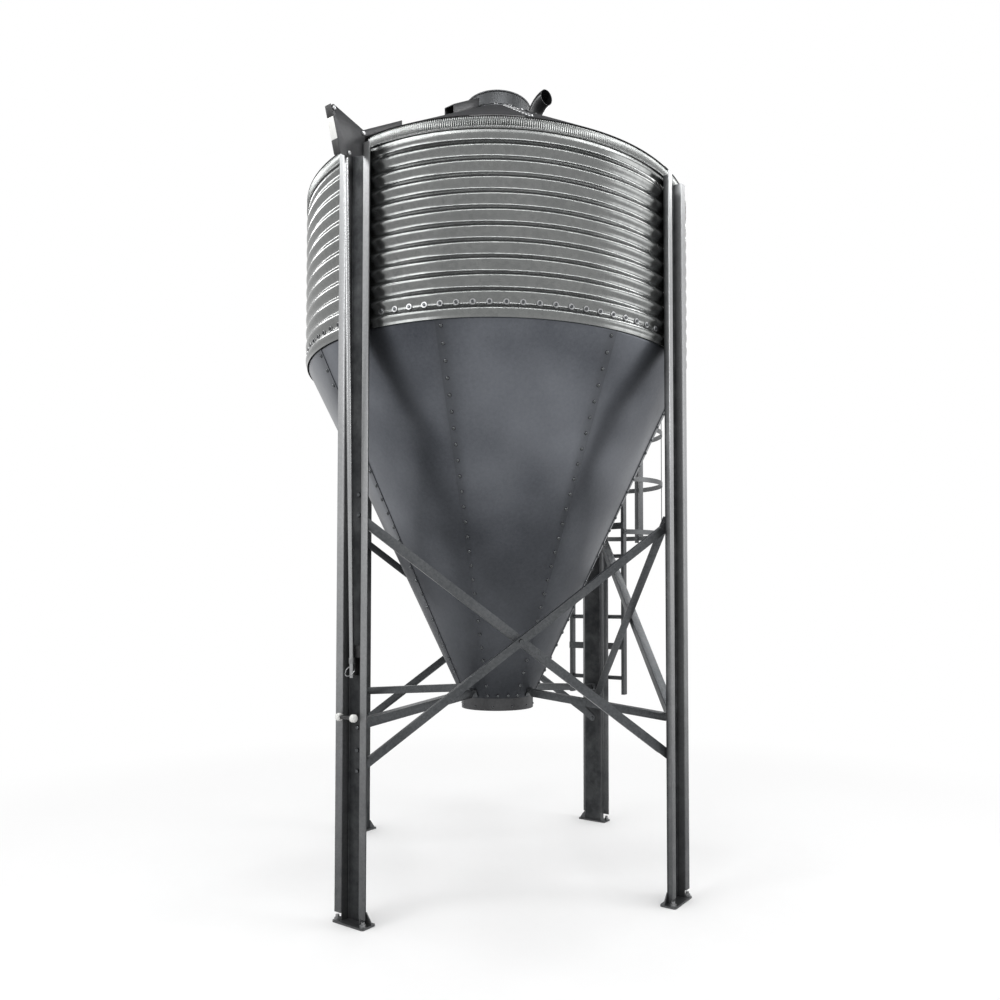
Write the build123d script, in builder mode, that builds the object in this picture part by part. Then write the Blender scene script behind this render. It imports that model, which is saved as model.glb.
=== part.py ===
from build123d import *
import math
import os

# Feed silo on four hat-section legs: corrugated ring, conical roof and hopper,
# caged ladder at the back right leg and a lid opener at the front left leg.
# Origin on the silo's axis at ground level. Front is -Y, up is +Z.

# Tank shell
tank_radius = 970.0
wave_pitch = 68.0
wave_height = 13.0
wave_count = 11
wall_thickness = 2.0
ring_bottom = 2500.0
bolt_band = 14.0
top_band = 28.0
sheet_gap = 0.6
sheet_count = 4

# Seat clearance between pieces that are bolted together
seat = 0.3

# Eave ring
eave_height = 52.0
eave_lap = 8.0
eave_bead = 4.0
eave_flange = 45.0
eave_gap = 2.0

# Roof
roof_slope = 34.0
roof_thickness = 2.0
roof_panel_count = 8
roof_overhang = 4.0
roof_lap_angle = 3.0
roof_hole_gap = 1.0

# Filler neck
neck_radius = 170.0
neck_thickness = 2.5
neck_height = 75.0
neck_flange = 30.0
neck_rim = 9.0

# Vent elbow, square to the roof and turned outward
vent_radius = 37.5
vent_thickness = 2.5
vent_distance = 300.0
vent_azimuth = 30.0
vent_rise = 4.0
vent_bend = 98.0
vent_turn = 58.0
vent_flange = 16.0

# Hopper
hopper_thickness = 2.0
hopper_panel_count = 8
hopper_flange = 78.0
hopper_bottom_z = 860.0
hopper_bottom_radius = 190.0
hopper_lap_angle = 3.0
hopper_drop = 2.0

# Outlet collar
collar_thickness = 3.0
collar_height = 62.0
collar_skirt = 26.0

# Legs: hat sections with the web against the tank and lips turned outward
leg_width = 110.0
leg_depth = 46.0
leg_lip = 34.0
leg_thickness = 4.0
leg_bend = 7.0
leg_top_z = 3278.0
leg_notch = 54.0

# Feet
foot_plate = 8.0
foot_width = 184.0
foot_inner = 17.0
foot_outer = 59.0
foot_corner = 10.0
gusset_height = 46.0
gusset_toe = 4.0
gusset_thickness = 5.0
anchor_hole = 9.0
anchor_spacing = 150.0
anchor_offset = 41.0

# Cross braces: angle bars with flattened ends bent onto the webs
brace_size = 40.0
brace_thickness = 4.0
brace_top_z = 1676.0
brace_bottom_z = 660.0
brace_side_step = 87.0
brace_fold = 40.0
brace_end_gap = 30.0

# Struts from the legs to the foot of the hopper
strut_size = 40.0
strut_thickness = 4.0
strut_leg_z = 818.0
strut_rise = 66.0
strut_tab = 46.0
strut_chamfer = 26.0

# Ladder on the back right leg
ladder_half_width = 184.0
rail_width = 20.0
rail_depth = 40.0
ladder_bottom_z = 775.0
ladder_top_z = 3770.0
rung_radius = 12.5
rung_first_z = 875.0
rung_pitch = 375.0
rung_count = 8
ladder_bar_width = 40.0
ladder_bar_thickness = 5.0
ladder_bar_zs = [1050.0, 1790.0, 2535.0, 3190.0]

# Safety cage
hoop_radius = 300.0
hoop_band = 30.0
hoop_thickness = 4.0
hoop_first_z = 1775.0
hoop_pitch = 328.0
hoop_count = 7
hoop_tab = 40.0
strap_count = 5
strap_width = 30.0
strap_thickness = 3.0
strap_step = 60.0
strap_overrun = 30.0

# Lid opener on the front left leg
opener_thickness = 4.0
opener_fold = 34.0
opener_root_out = 30.0
opener_top_out = 219.0
opener_low_out = 165.0
opener_rise = 33.0
opener_drop = 155.0
opener_toe = 38.0
opener_toe_rise = 4.0
opener_lap = 50.0
opener_clear = 4.0

# Pull rod and its catch
rod_radius = 10.0
rod_bottom_z = 1022.0
rod_top_in = 40.0
rod_top_rise = 33.0
rod_bottom_side = -3.0
rod_bottom_out = 36.0
clip_z = 1132.0
clip_height = 52.0
clip_width = 44.0
clip_side = 17.0
clip_corner = 5.0

# Rope cleat
cleat_z = 858.0
cleat_side = -8.0
cleat_out = 64.0
cleat_radius = 8.0
cleat_length = 84.0
cleat_cap_radius = 13.0
cleat_cap_length = 12.0

# Channels lying on the roof
roof_channel_width = 44.0
roof_channel_height = 24.0
roof_channel_wall = 3.0
roof_channel_length = 238.0
roof_channel_past = 41.0
neck_channel_outer = 400.0
neck_channel_width = 60.0
neck_channel_height = 40.0

# The eight compass sides, the four sides and the four legs, by angle
sides = {"front": 270.0, "right": 0.0, "back": 90.0, "left": 180.0}
corners = {"front_right": 315.0, "back_right": 45.0, "back_left": 135.0, "front_left": 225.0}
sheet_starts = {"front": 225.0, "right": 315.0, "back": 45.0, "left": 135.0}
leg_angles = corners
full_turn = 360.0
side_turn = 45.0

# Derived places
wave_half = wave_height / 2
crest_radius = tank_radius + wave_half
ring_top = ring_bottom + bolt_band + wave_count * wave_pitch + top_band
leg_web = crest_radius + seat
leg_out = leg_web + leg_depth
leg_half = leg_width / 2
leg_face = leg_web + leg_thickness
web_seat = leg_web - seat
slope = math.radians(roof_slope)
eave_inner = tank_radius + seat
eave_outer = eave_inner + wall_thickness
eave_low = ring_top - eave_lap
eave_z = eave_low + eave_height
under_lift = seat
over_lift = under_lift + roof_thickness + seat
neck_lift = over_lift + roof_thickness + seat
hopper_outer = tank_radius - wave_half - wall_thickness - seat
hopper_top = ring_bottom + hopper_flange
hopper_bend_z = ring_bottom - hopper_drop
hopper_angle = math.atan2(hopper_bend_z - hopper_bottom_z, hopper_outer - hopper_bottom_radius)
under_inset = hopper_thickness + seat
brace_layer = brace_thickness + seat
ladder_angle = leg_angles["back_right"]
bar_out = leg_out + seat
rail_in = bar_out + ladder_bar_thickness + seat
rail_out = rail_in + rail_depth
rail_middle = rail_in + rail_depth / 2
rail_half = rail_width / 2
tab_side = ladder_half_width + rail_half + seat + hoop_thickness
hoop_reach = math.sqrt(hoop_radius ** 2 - tab_side ** 2)
cage_middle = rail_out + hoop_reach
opener_angle = leg_angles["front_left"]
opener_side = leg_half - leg_thickness - seat


def radial_plane(angle):
    """Upright plane through the axis: x runs outward, y runs up."""
    a = math.radians(angle)
    return Plane(origin=(0, 0, 0), x_dir=(math.cos(a), math.sin(a), 0), z_dir=(math.sin(a), -math.cos(a), 0))


def level_plane(angle, z, distance=0.0):
    """Level plane at an angle round the tank: x runs outward, y runs anticlockwise, z up."""
    a = math.radians(angle)
    origin = (distance * math.cos(a), distance * math.sin(a), z)
    return Plane(origin=origin, x_dir=(math.cos(a), math.sin(a), 0), z_dir=(0, 0, 1))


def roof_point(radius, lift):
    """Point on the roof's cone at a radius, lifted square to the slope."""
    z = eave_z + (eave_outer - radius) * math.tan(slope) + lift / math.cos(slope)
    return (radius, z)


def hopper_line(inset):
    """Flange top, bend and bottom edge of a hopper surface moved inward."""
    radius = hopper_outer - inset
    bend = inset * (1 - math.sin(hopper_angle)) / math.cos(hopper_angle)
    z = hopper_bend_z - bend * math.sin(hopper_angle) + inset * math.cos(hopper_angle)
    low = hopper_bottom_radius - inset / math.sin(hopper_angle)
    return [(radius, hopper_top), (radius, z), (low, hopper_bottom_z)]


def hopper_radius(z, inset):
    """Radius of a hopper surface at a height below the bend."""
    low = hopper_bottom_radius - inset / math.sin(hopper_angle)
    return low + (z - hopper_bottom_z) / math.tan(hopper_angle)


def save(piece, name):
    piece.part.label = name
    export_step(piece.part, "parts/" + name + ".step")


# Wall sheets


def wall_profile():
    """Outer edge of the rolled sheet: flat bolt band, waves and a flat top."""
    first = ring_bottom + bolt_band
    points = [(tank_radius, ring_bottom), (tank_radius, first)]
    for wave in range(wave_count):
        base = first + wave * wave_pitch
        points.append((tank_radius + wave_half, base + wave_pitch / 4))
        points.append((tank_radius - wave_half, base + wave_pitch * 3 / 4))
    points.append((tank_radius, first + wave_count * wave_pitch))
    points.append((tank_radius, ring_top))
    return points


def wall_sheet(start):
    """A quarter of the corrugated wall."""
    outer = wall_profile()
    inner = [(x - wall_thickness, z) for x, z in reversed(outer)]
    gap_angle = math.degrees(sheet_gap / tank_radius)
    with BuildPart() as sheet:
        with BuildSketch(radial_plane(start + gap_angle / 2)):
            with BuildLine():
                Polyline(*outer, *inner, close=True)
            make_face()
        revolve(axis=Axis.Z, revolution_arc=full_turn / sheet_count - gap_angle)
    return sheet


# Eave ring and roof


def eave_arc():
    """A quarter of the ring that laps over the wall and turns in under the roof."""
    run = eave_flange * math.cos(slope)
    rise = eave_flange * math.sin(slope)
    under = wall_thickness / math.cos(slope)
    with BuildPart() as eave:
        with BuildSketch(radial_plane(0)):
            with BuildLine():
                Polyline(
                    (eave_inner, eave_low + eave_bead),
                    (eave_inner, eave_low),
                    (eave_outer + eave_bead / 2, eave_low),
                    (eave_outer + eave_bead, eave_low + eave_bead / 2),
                    (eave_outer + eave_bead / 2, eave_low + eave_bead),
                    (eave_outer, eave_low + eave_bead * 3 / 2),
                    (eave_outer, eave_z),
                    (eave_outer - run, eave_z + rise),
                    (eave_outer - run, eave_z + rise - under),
                    (eave_inner, eave_z - under + wall_thickness * math.tan(slope)),
                    close=True,
                )
            make_face()
        revolve(axis=Axis.Z, revolution_arc=full_turn / sheet_count - math.degrees(eave_gap / tank_radius))
    return eave


def eave_ring():
    arc = eave_arc().part
    with BuildPart() as ring:
        with PolarLocations(0, sheet_count):
            add(arc)
    return ring


def roof_panel(lift):
    """One roof sheet, a sector of the cone lifted by its place in the lap."""
    edge = eave_outer + roof_overhang
    hole = neck_radius + roof_hole_gap
    step = full_turn / roof_panel_count
    span = step + roof_lap_angle
    with BuildPart() as panel:
        with BuildSketch(radial_plane(sides["front"] + (step - span) / 2)):
            with BuildLine():
                Polyline(
                    roof_point(hole, lift),
                    roof_point(edge, lift),
                    roof_point(edge, lift + roof_thickness),
                    roof_point(hole, lift + roof_thickness),
                    close=True,
                )
            make_face()
        revolve(axis=Axis.Z, revolution_arc=span)
    return panel


def roof_panels(lift, turned):
    """Every second panel of the roof."""
    panel = roof_panel(lift).part
    with BuildPart() as panels:
        with PolarLocations(0, roof_panel_count // 2, start_angle=turned):
            add(panel)
    return panels


def filler_neck():
    """Round neck with a flange on the roof and a rolled rim."""
    bore = neck_radius - neck_thickness
    top = roof_point(neck_radius, neck_lift)[1] + neck_height
    with BuildPart() as neck:
        with BuildSketch(radial_plane(0)):
            with BuildLine():
                Polyline(
                    roof_point(bore, neck_lift),
                    roof_point(neck_radius + neck_flange, neck_lift),
                    roof_point(neck_radius + neck_flange, neck_lift + neck_thickness),
                    roof_point(neck_radius, neck_lift + neck_thickness),
                    (neck_radius, top - neck_rim),
                    (neck_radius + neck_rim / 2, top - neck_rim),
                    (neck_radius + neck_rim / 2, top),
                    (bore, top),
                    close=True,
                )
            make_face()
        revolve(axis=Axis.Z)
    return neck


def vent_elbow():
    """Pipe bend that stands square to the roof and opens outward."""
    angle = sides["front"] + vent_azimuth
    upright = radial_plane(angle)
    base = roof_point(vent_distance, over_lift)
    normal = upright.x_dir * math.sin(slope) + upright.y_dir * math.cos(slope)
    footing = Plane(origin=upright.from_local_coords((*base, 0)), x_dir=upright.z_dir, z_dir=normal)
    top = (base[0] + vent_rise * math.sin(slope), base[1] + vent_rise * math.cos(slope))
    middle = (top[0] + vent_bend * math.cos(slope), top[1] - vent_bend * math.sin(slope))
    with BuildPart() as vent:
        with BuildLine(upright) as path:
            Line(base, top)
            CenterArc(middle, vent_bend, 180 - roof_slope, -vent_turn)
        with BuildSketch(footing):
            Circle(vent_radius)
            Circle(vent_radius - vent_thickness, mode=Mode.SUBTRACT)
        sweep(path=path.wires()[0])
        with BuildSketch(footing):
            Circle(vent_radius + vent_flange)
            Circle(vent_radius - vent_thickness, mode=Mode.SUBTRACT)
        extrude(amount=vent_thickness)
    return vent


def channel_outline(inner, outer, height):
    """Side of a bar that lies on the roof between two radii."""
    return [
        roof_point(inner, neck_lift),
        roof_point(outer, neck_lift),
        roof_point(outer, neck_lift + height),
        roof_point(inner, neck_lift + height),
    ]


def roof_channel(inner, outer, width, height, side):
    """Upturned channel lying on the roof in the lid opener's direction."""
    plane = radial_plane(opener_angle).offset(-side)
    with BuildPart() as channel:
        with BuildSketch(plane):
            with BuildLine():
                Polyline(*channel_outline(inner, outer, height), close=True)
            make_face()
        extrude(amount=width / 2, both=True)
        with BuildSketch(plane):
            with BuildLine():
                Polyline(*channel_outline(inner, outer, height - roof_channel_wall), close=True)
            make_face()
        extrude(amount=width / 2 - roof_channel_wall, both=True, mode=Mode.SUBTRACT)
    return channel


# Hopper and outlet


def hopper_panel(middle, inset):
    """One hopper sheet with its upright flange inside the wall."""
    span = full_turn / hopper_panel_count + hopper_lap_angle
    outer = hopper_line(inset)
    inner = hopper_line(inset + hopper_thickness)
    with BuildPart() as panel:
        with BuildSketch(radial_plane(middle - span / 2)):
            with BuildLine():
                Polyline(*outer, *reversed(inner), close=True)
            make_face()
        revolve(axis=Axis.Z, revolution_arc=span)
    return panel


def outlet_collar():
    """Round collar with a skirt that laps inside the hopper."""
    inset = under_inset + hopper_thickness + seat
    top = hopper_bottom_z + collar_skirt
    low = hopper_bottom_z - collar_height
    radius = hopper_radius(hopper_bottom_z, inset)
    skirt = hopper_radius(top, inset)
    with BuildPart() as collar:
        with BuildSketch(radial_plane(0)):
            with BuildLine():
                Polyline(
                    (radius, low),
                    (radius, hopper_bottom_z),
                    (skirt, top),
                    (skirt - collar_thickness / math.sin(hopper_angle), top),
                    (radius - collar_thickness, hopper_bottom_z),
                    (radius - collar_thickness, low),
                    close=True,
                )
            make_face()
        revolve(axis=Axis.Z)
    return collar


# Legs and feet


def leg(angle):
    """Hat section from the foot to the top of the wall, its lips cut away above the anchor bolts."""
    lip = leg_half + leg_lip
    inset = leg_half - leg_thickness
    behind = leg_depth - leg_thickness
    tight = leg_bend - leg_thickness
    with BuildPart() as post:
        with BuildSketch(level_plane(angle, foot_plate, leg_web)):
            with BuildLine():
                back = FilletPolyline(
                    (behind, -lip), (behind, -leg_half), (0, -leg_half),
                    (0, leg_half), (behind, leg_half), (behind, lip),
                    radius=(tight, leg_bend, leg_bend, tight),
                )
                face = FilletPolyline(
                    (leg_depth, -lip), (leg_depth, -inset), (leg_thickness, -inset),
                    (leg_thickness, inset), (leg_depth, inset), (leg_depth, lip),
                    radius=(leg_bend, tight, tight, leg_bend),
                )
                Line(back @ 0, face @ 0)
                Line(back @ 1, face @ 1)
            make_face()
        extrude(amount=leg_top_z - foot_plate)
        with BuildSketch(level_plane(angle, foot_plate, leg_web)):
            with Locations((leg_depth, leg_half + leg_lip), (leg_depth, -leg_half - leg_lip)):
                Rectangle(2 * (leg_thickness + tight), 2 * leg_lip)
        extrude(amount=leg_notch, mode=Mode.SUBTRACT)
    return post


def leg_feet():
    """Foot plates with anchor holes and a gusset at each side of the leg."""
    reach = foot_width / 2 - leg_half - seat - foot_corner / 2
    outline = [(0, 0), (reach, 0), (reach, gusset_toe), (0, gusset_height)]
    with BuildPart() as feet:
        for angle in leg_angles.values():
            with BuildSketch(level_plane(angle, 0, leg_web)):
                with Locations(((foot_outer - foot_inner) / 2, 0)):
                    RectangleRounded(foot_outer + foot_inner, foot_width, foot_corner)
                with Locations((anchor_offset, anchor_spacing / 2), (anchor_offset, -anchor_spacing / 2)):
                    Circle(anchor_hole, mode=Mode.SUBTRACT)
            extrude(amount=foot_plate)
            face = level_plane(angle, foot_plate, leg_web)
            for hand in (1, -1):
                root = face.from_local_coords((0, hand * (leg_half + seat), 0))
                with BuildSketch(Plane(origin=root, x_dir=face.y_dir * hand, z_dir=face.x_dir * hand)):
                    with BuildLine():
                        Polyline(*outline, close=True)
                    make_face()
                extrude(amount=gusset_thickness * hand)
    return feet


# Cross braces


def brace_end(side_angle, hand, depth, end_z, rate):
    """Flattened end of a brace, bent onto the web and bolted at the middle of it."""
    tab_face = web_seat - brace_thickness
    fold = depth * math.sqrt(2) - web_seat + brace_thickness / 2
    web = level_plane(side_angle + hand * side_turn, end_z + rate * fold, tab_face)
    toward = (web.y_dir * -hand - web.z_dir * rate).normalized()
    length = math.hypot(fold, rate * fold) + brace_size
    outer_face = level_plane(side_angle, 0, depth + brace_thickness / 2)
    with BuildPart() as tab:
        with BuildSketch(Plane(origin=web.origin, x_dir=toward, z_dir=web.x_dir)):
            Circle(brace_size / 2)
            with Locations((length / 2, 0)):
                Rectangle(length, brace_size)
        extrude(amount=brace_thickness)
        split(bisect_by=Plane(origin=outer_face.origin, z_dir=outer_face.x_dir), keep=Keep.BOTTOM)
    return tab


def brace_bar(side_angle, layer, rising):
    """Angle bar across one side of the tower: its standing leg runs from web to web."""
    side = level_plane(side_angle, 0)
    lift = brace_side_step if side_angle in (sides["right"], sides["left"]) else 0.0
    depth = (brace_fold + web_seat - brace_thickness / 2) / math.sqrt(2) - layer
    half = abs(depth - math.sqrt(2) * (web_seat - brace_thickness / 2))
    high, low = brace_top_z + lift, brace_bottom_z + lift
    start_z, end_z = (low, high) if rising else (high, low)
    start = side.from_local_coords((depth, -half, start_z))
    end = side.from_local_coords((depth, half, end_z))
    axis = (end - start).normalized()
    rate = (high - low) / (2 * half)
    hand = 1 if layer == 0 else -1
    corner = (hand * brace_size / 2, -hand * (brace_size - brace_thickness) / 2)
    tabs = [
        brace_end(side_angle, -1, depth, start_z, -rate if rising else rate).part,
        brace_end(side_angle, 1, depth, end_z, rate if rising else -rate).part,
    ]
    with BuildPart() as bar:
        with BuildSketch(Plane(origin=start - axis * brace_size, x_dir=side.x_dir, z_dir=axis)):
            Rectangle(brace_thickness, brace_size)
        extrude(amount=(end - start).length + 2 * brace_size)
        for leg_angle in (side_angle - side_turn, side_angle + side_turn):
            web = level_plane(leg_angle, 0, web_seat)
            split(bisect_by=Plane(origin=web.origin, z_dir=web.x_dir), keep=Keep.BOTTOM)
        with BuildSketch(Plane(origin=start + axis * brace_end_gap, x_dir=side.x_dir, z_dir=axis)):
            with Locations(corner):
                Rectangle(brace_size, brace_thickness)
        extrude(amount=(end - start).length - 2 * brace_end_gap)
        for tab in tabs:
            add(tab)
    return bar


# Struts


def hopper_strut(angle):
    """Angle bar from a leg's web to the foot of the hopper, with a bent tab at each end."""
    half = strut_size / 2
    middle_z = strut_leg_z + strut_rise
    gap = seat / math.sin(hopper_angle)
    skin = (seat + strut_thickness) / math.sin(hopper_angle)
    inner_low = hopper_radius(middle_z - half, under_inset) + gap
    inner_middle = hopper_radius(middle_z, under_inset) + gap
    inner_high = hopper_radius(middle_z + half, under_inset) + gap
    tilt = math.atan2(strut_rise, web_seat - inner_high)
    drop = strut_chamfer * math.tan(tilt)
    tab_rise = half * math.sin(hopper_angle)
    tab_low, tab_high = middle_z - tab_rise, middle_z + tab_rise
    upright = radial_plane(angle)
    corner = upright.from_local_coords((web_seat, strut_leg_z + half, 0))
    along = upright.y_dir * math.sin(tilt) - upright.x_dir * math.cos(tilt)
    above = upright.x_dir * math.sin(tilt) + upright.y_dir * math.cos(tilt)
    length = (web_seat - inner_high) / math.cos(tilt)
    with BuildPart() as strut:
        with BuildSketch(upright):
            with BuildLine():
                Polyline(
                    (web_seat, strut_leg_z + half),
                    (web_seat, strut_leg_z),
                    (web_seat - strut_chamfer, strut_leg_z - half + drop),
                    (inner_low + strut_chamfer, middle_z - half - drop),
                    (inner_middle, middle_z),
                    (inner_high, middle_z + half),
                    close=True,
                )
            make_face()
        extrude(amount=strut_thickness / 2, both=True)
        with BuildSketch(Plane(origin=corner, x_dir=along, z_dir=above)):
            with BuildLine():
                Polyline(
                    (strut_thickness, 0),
                    (strut_thickness + strut_chamfer, strut_size),
                    (length - 2 * strut_chamfer, strut_size),
                    (length - strut_chamfer, 0),
                    close=True,
                )
            make_face()
        extrude(amount=-strut_thickness)
        with BuildSketch(level_plane(angle, strut_leg_z - half, web_seat - strut_thickness / 2)):
            Rectangle(strut_thickness, strut_tab)
        extrude(amount=strut_size)
        with BuildSketch(upright):
            with BuildLine():
                Polyline(
                    (hopper_radius(tab_low, under_inset) + gap, tab_low),
                    (hopper_radius(tab_low, under_inset) + skin, tab_low),
                    (hopper_radius(tab_high, under_inset) + skin, tab_high),
                    (hopper_radius(tab_high, under_inset) + gap, tab_high),
                    close=True,
                )
            make_face()
        extrude(amount=strut_tab / 2, both=True)
    return strut


def hopper_struts():
    struts = [hopper_strut(angle).part for angle in leg_angles.values()]
    with BuildPart() as group:
        for strut in struts:
            add(strut)
    return group


# Ladder


def ladder_rails():
    with BuildPart() as rails:
        with BuildSketch(level_plane(ladder_angle, ladder_bottom_z, rail_middle)):
            with Locations((0, ladder_half_width), (0, -ladder_half_width)):
                Rectangle(rail_depth, rail_width)
        extrude(amount=ladder_top_z - ladder_bottom_z)
    return rails


def ladder_rungs():
    half = ladder_half_width - rail_half
    with BuildPart() as rungs:
        for count in range(rung_count):
            centre = level_plane(ladder_angle, rung_first_z + count * rung_pitch, rail_middle)
            start = centre.from_local_coords((0, -half, 0))
            with BuildSketch(Plane(origin=start, x_dir=centre.x_dir, z_dir=centre.y_dir)):
                Circle(rung_radius)
            extrude(amount=2 * half)
    return rungs


def ladder_crossbars():
    """Flat bars that hold the rails to the lips of the leg."""
    with BuildPart() as bars:
        for z in ladder_bar_zs:
            with BuildSketch(level_plane(ladder_angle, z, bar_out + ladder_bar_thickness / 2)):
                Rectangle(ladder_bar_thickness, 2 * ladder_half_width + rail_width)
            extrude(amount=ladder_bar_width)
    return bars


# Safety cage


def cage_hoop(z):
    """Flat-bar hoop with a tab along each rail."""
    inner_radius = hoop_radius - hoop_thickness
    inner_side = tab_side - hoop_thickness
    inner_reach = math.sqrt(inner_radius ** 2 - inner_side ** 2)
    outer_open = 180 - math.degrees(math.asin(tab_side / hoop_radius))
    inner_open = 180 - math.degrees(math.asin(inner_side / inner_radius))
    end = -hoop_reach - hoop_tab
    with BuildPart() as hoop:
        with BuildSketch(level_plane(ladder_angle, z, cage_middle)):
            with BuildLine():
                CenterArc((0, 0), hoop_radius, -outer_open, 2 * outer_open)
                CenterArc((0, 0), inner_radius, -inner_open, 2 * inner_open)
                for hand in (1, -1):
                    Polyline(
                        (-hoop_reach, hand * tab_side),
                        (end, hand * tab_side),
                        (end, hand * inner_side),
                        (-inner_reach, hand * inner_side),
                    )
            make_face()
        extrude(amount=hoop_band)
    return hoop


def cage_hoops():
    heights = [hoop_first_z + count * hoop_pitch - hoop_band / 2 for count in range(hoop_count)]
    hoops = [cage_hoop(z).part for z in heights]
    with BuildPart() as group:
        for hoop in hoops:
            add(hoop)
    return group


def cage_straps():
    """Upright straps inside the hoops."""
    low = hoop_first_z - strap_overrun
    high = hoop_first_z + (hoop_count - 1) * hoop_pitch + strap_overrun
    room = hoop_radius - hoop_thickness - seat
    face = math.sqrt(room ** 2 - (strap_width / 2) ** 2)
    spread = (strap_count - 1) * strap_step
    with BuildPart() as straps:
        with BuildSketch(level_plane(ladder_angle, low, cage_middle)):
            with PolarLocations(
                face - strap_thickness / 2, strap_count,
                start_angle=-spread / 2, angular_range=spread, endpoint=True,
            ):
                Rectangle(strap_thickness, strap_width)
        extrude(amount=high - low)
    return straps


# Lid opener


opener_top = (leg_web + opener_top_out, eave_z + opener_rise)
opener_low = (leg_web + opener_low_out, eave_z - opener_drop)


def opener_bracket():
    """Plate inside the leg's flange with its outer edge folded."""
    inner = leg_face + leg_bend
    lap_z = leg_top_z - opener_lap
    edge = Vector(opener_low[0] - opener_top[0], opener_low[1] - opener_top[1], 0).normalized()
    out = Vector(-edge.Y, edge.X, 0) * opener_thickness
    plane = radial_plane(opener_angle).offset(-opener_side)
    with BuildPart() as opener:
        with BuildSketch(plane):
            with BuildLine():
                Polyline(
                    (leg_web + opener_root_out, eave_z),
                    opener_top,
                    opener_low,
                    (opener_low[0] - opener_toe, opener_low[1] + opener_toe_rise),
                    (leg_out - opener_clear, lap_z),
                    (inner, lap_z),
                    close=True,
                )
            make_face()
        extrude(amount=opener_thickness)
        with BuildSketch(plane):
            with BuildLine():
                Polyline(
                    opener_top,
                    opener_low,
                    (opener_low[0] + out.X, opener_low[1] + out.Y),
                    (opener_top[0] + out.X, opener_top[1] + out.Y),
                    close=True,
                )
            make_face()
        extrude(amount=opener_fold)
    return opener


rod_top_out = opener_low_out - rod_top_in
rod_top_z = opener_low[1] + rod_top_rise
leg_frame = level_plane(opener_angle, 0, leg_web)


def pull_rod():
    """Round rod from the bracket down the channel of the leg."""
    top_side = opener_side - opener_thickness - 3 * seat - rod_radius
    top = leg_frame.from_local_coords((rod_top_out, top_side, rod_top_z))
    low = leg_frame.from_local_coords((rod_bottom_out, rod_bottom_side, rod_bottom_z))
    with BuildPart() as rod:
        with BuildSketch(Plane(origin=low, z_dir=(top - low).normalized())):
            Circle(rod_radius)
        extrude(amount=(top - low).length)
    return rod


def rod_clip():
    """Block on the web that the rod rests against."""
    share = (clip_z - clip_height / 2 - rod_bottom_z) / (rod_top_z - rod_bottom_z)
    rod_out = rod_bottom_out + share * (rod_top_out - rod_bottom_out)
    clip_seat = leg_thickness + seat
    reach = rod_out - rod_radius - 2 * seat - clip_seat
    with BuildPart() as clip:
        with BuildSketch(level_plane(opener_angle, clip_z - clip_height / 2, leg_web)):
            with Locations((clip_seat + reach / 2, clip_side)):
                Rectangle(reach, clip_width)
        extrude(amount=clip_height)
        fillet(clip.edges().filter_by(Axis.Z), radius=clip_corner)
    return clip


def rope_cleat():
    """Bar with capped ends on a stem from the web."""
    half = cleat_length / 2
    stem = leg_thickness + seat
    with BuildPart() as cleat:
        foot = leg_frame.from_local_coords((stem, cleat_side, cleat_z))
        with BuildSketch(Plane(origin=foot, z_dir=leg_frame.x_dir)):
            Circle(cleat_radius)
        extrude(amount=cleat_out - stem)
        bars = [
            (-half, cleat_radius, cleat_length),
            (-half, cleat_cap_radius, cleat_cap_length),
            (half - cleat_cap_length, cleat_cap_radius, cleat_cap_length),
        ]
        for start, radius, length in bars:
            place = leg_frame.from_local_coords((cleat_out, cleat_side + start, cleat_z))
            with BuildSketch(Plane(origin=place, z_dir=leg_frame.y_dir)):
                Circle(radius)
            extrude(amount=length)
    return cleat


# All pieces

os.makedirs("parts", exist_ok=True)
for side, start in sheet_starts.items():
    save(wall_sheet(start), "wall_sheet_" + side)
save(eave_ring(), "eave_ring")
save(roof_panels(under_lift, 0), "roof_panels_under")
save(roof_panels(over_lift, full_turn / roof_panel_count), "roof_panels_over")
save(filler_neck(), "filler_neck")
save(vent_elbow(), "vent_elbow")
for side, angle in sides.items():
    save(hopper_panel(angle, 0.0), "hopper_panel_" + side)
for side, angle in corners.items():
    save(hopper_panel(angle, under_inset), "hopper_panel_" + side)
save(outlet_collar(), "outlet_collar")
for side, angle in leg_angles.items():
    save(leg(angle), "leg_" + side)
save(leg_feet(), "leg_feet")
for side, angle in sides.items():
    save(brace_bar(angle, 0.0, True), "brace_rising_" + side)
    save(brace_bar(angle, brace_layer, False), "brace_falling_" + side)
save(hopper_struts(), "hopper_struts")
save(ladder_rails(), "ladder_rails")
save(ladder_rungs(), "ladder_rungs")
save(ladder_crossbars(), "ladder_crossbars")
save(cage_hoops(), "cage_hoops")
save(cage_straps(), "cage_straps")
save(opener_bracket(), "opener_bracket")
save(pull_rod(), "pull_rod")
save(rod_clip(), "rod_clip")
save(rope_cleat(), "rope_cleat")
channel_side = opener_side - opener_thickness - seat - roof_channel_width / 2
channel_end = leg_web + roof_channel_past
channel_start = channel_end - roof_channel_length
neck_edge = neck_radius + neck_flange + seat
save(
    roof_channel(channel_start, channel_end, roof_channel_width, roof_channel_height, channel_side),
    "roof_channel",
)
save(
    roof_channel(neck_edge, neck_channel_outer, neck_channel_width, neck_channel_height, 0.0),
    "neck_channel",
)
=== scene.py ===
import math

import bmesh
import bpy
from bpy.props import FloatProperty, FloatVectorProperty, IntProperty, PointerProperty
from mathutils import Matrix, Vector


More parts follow.
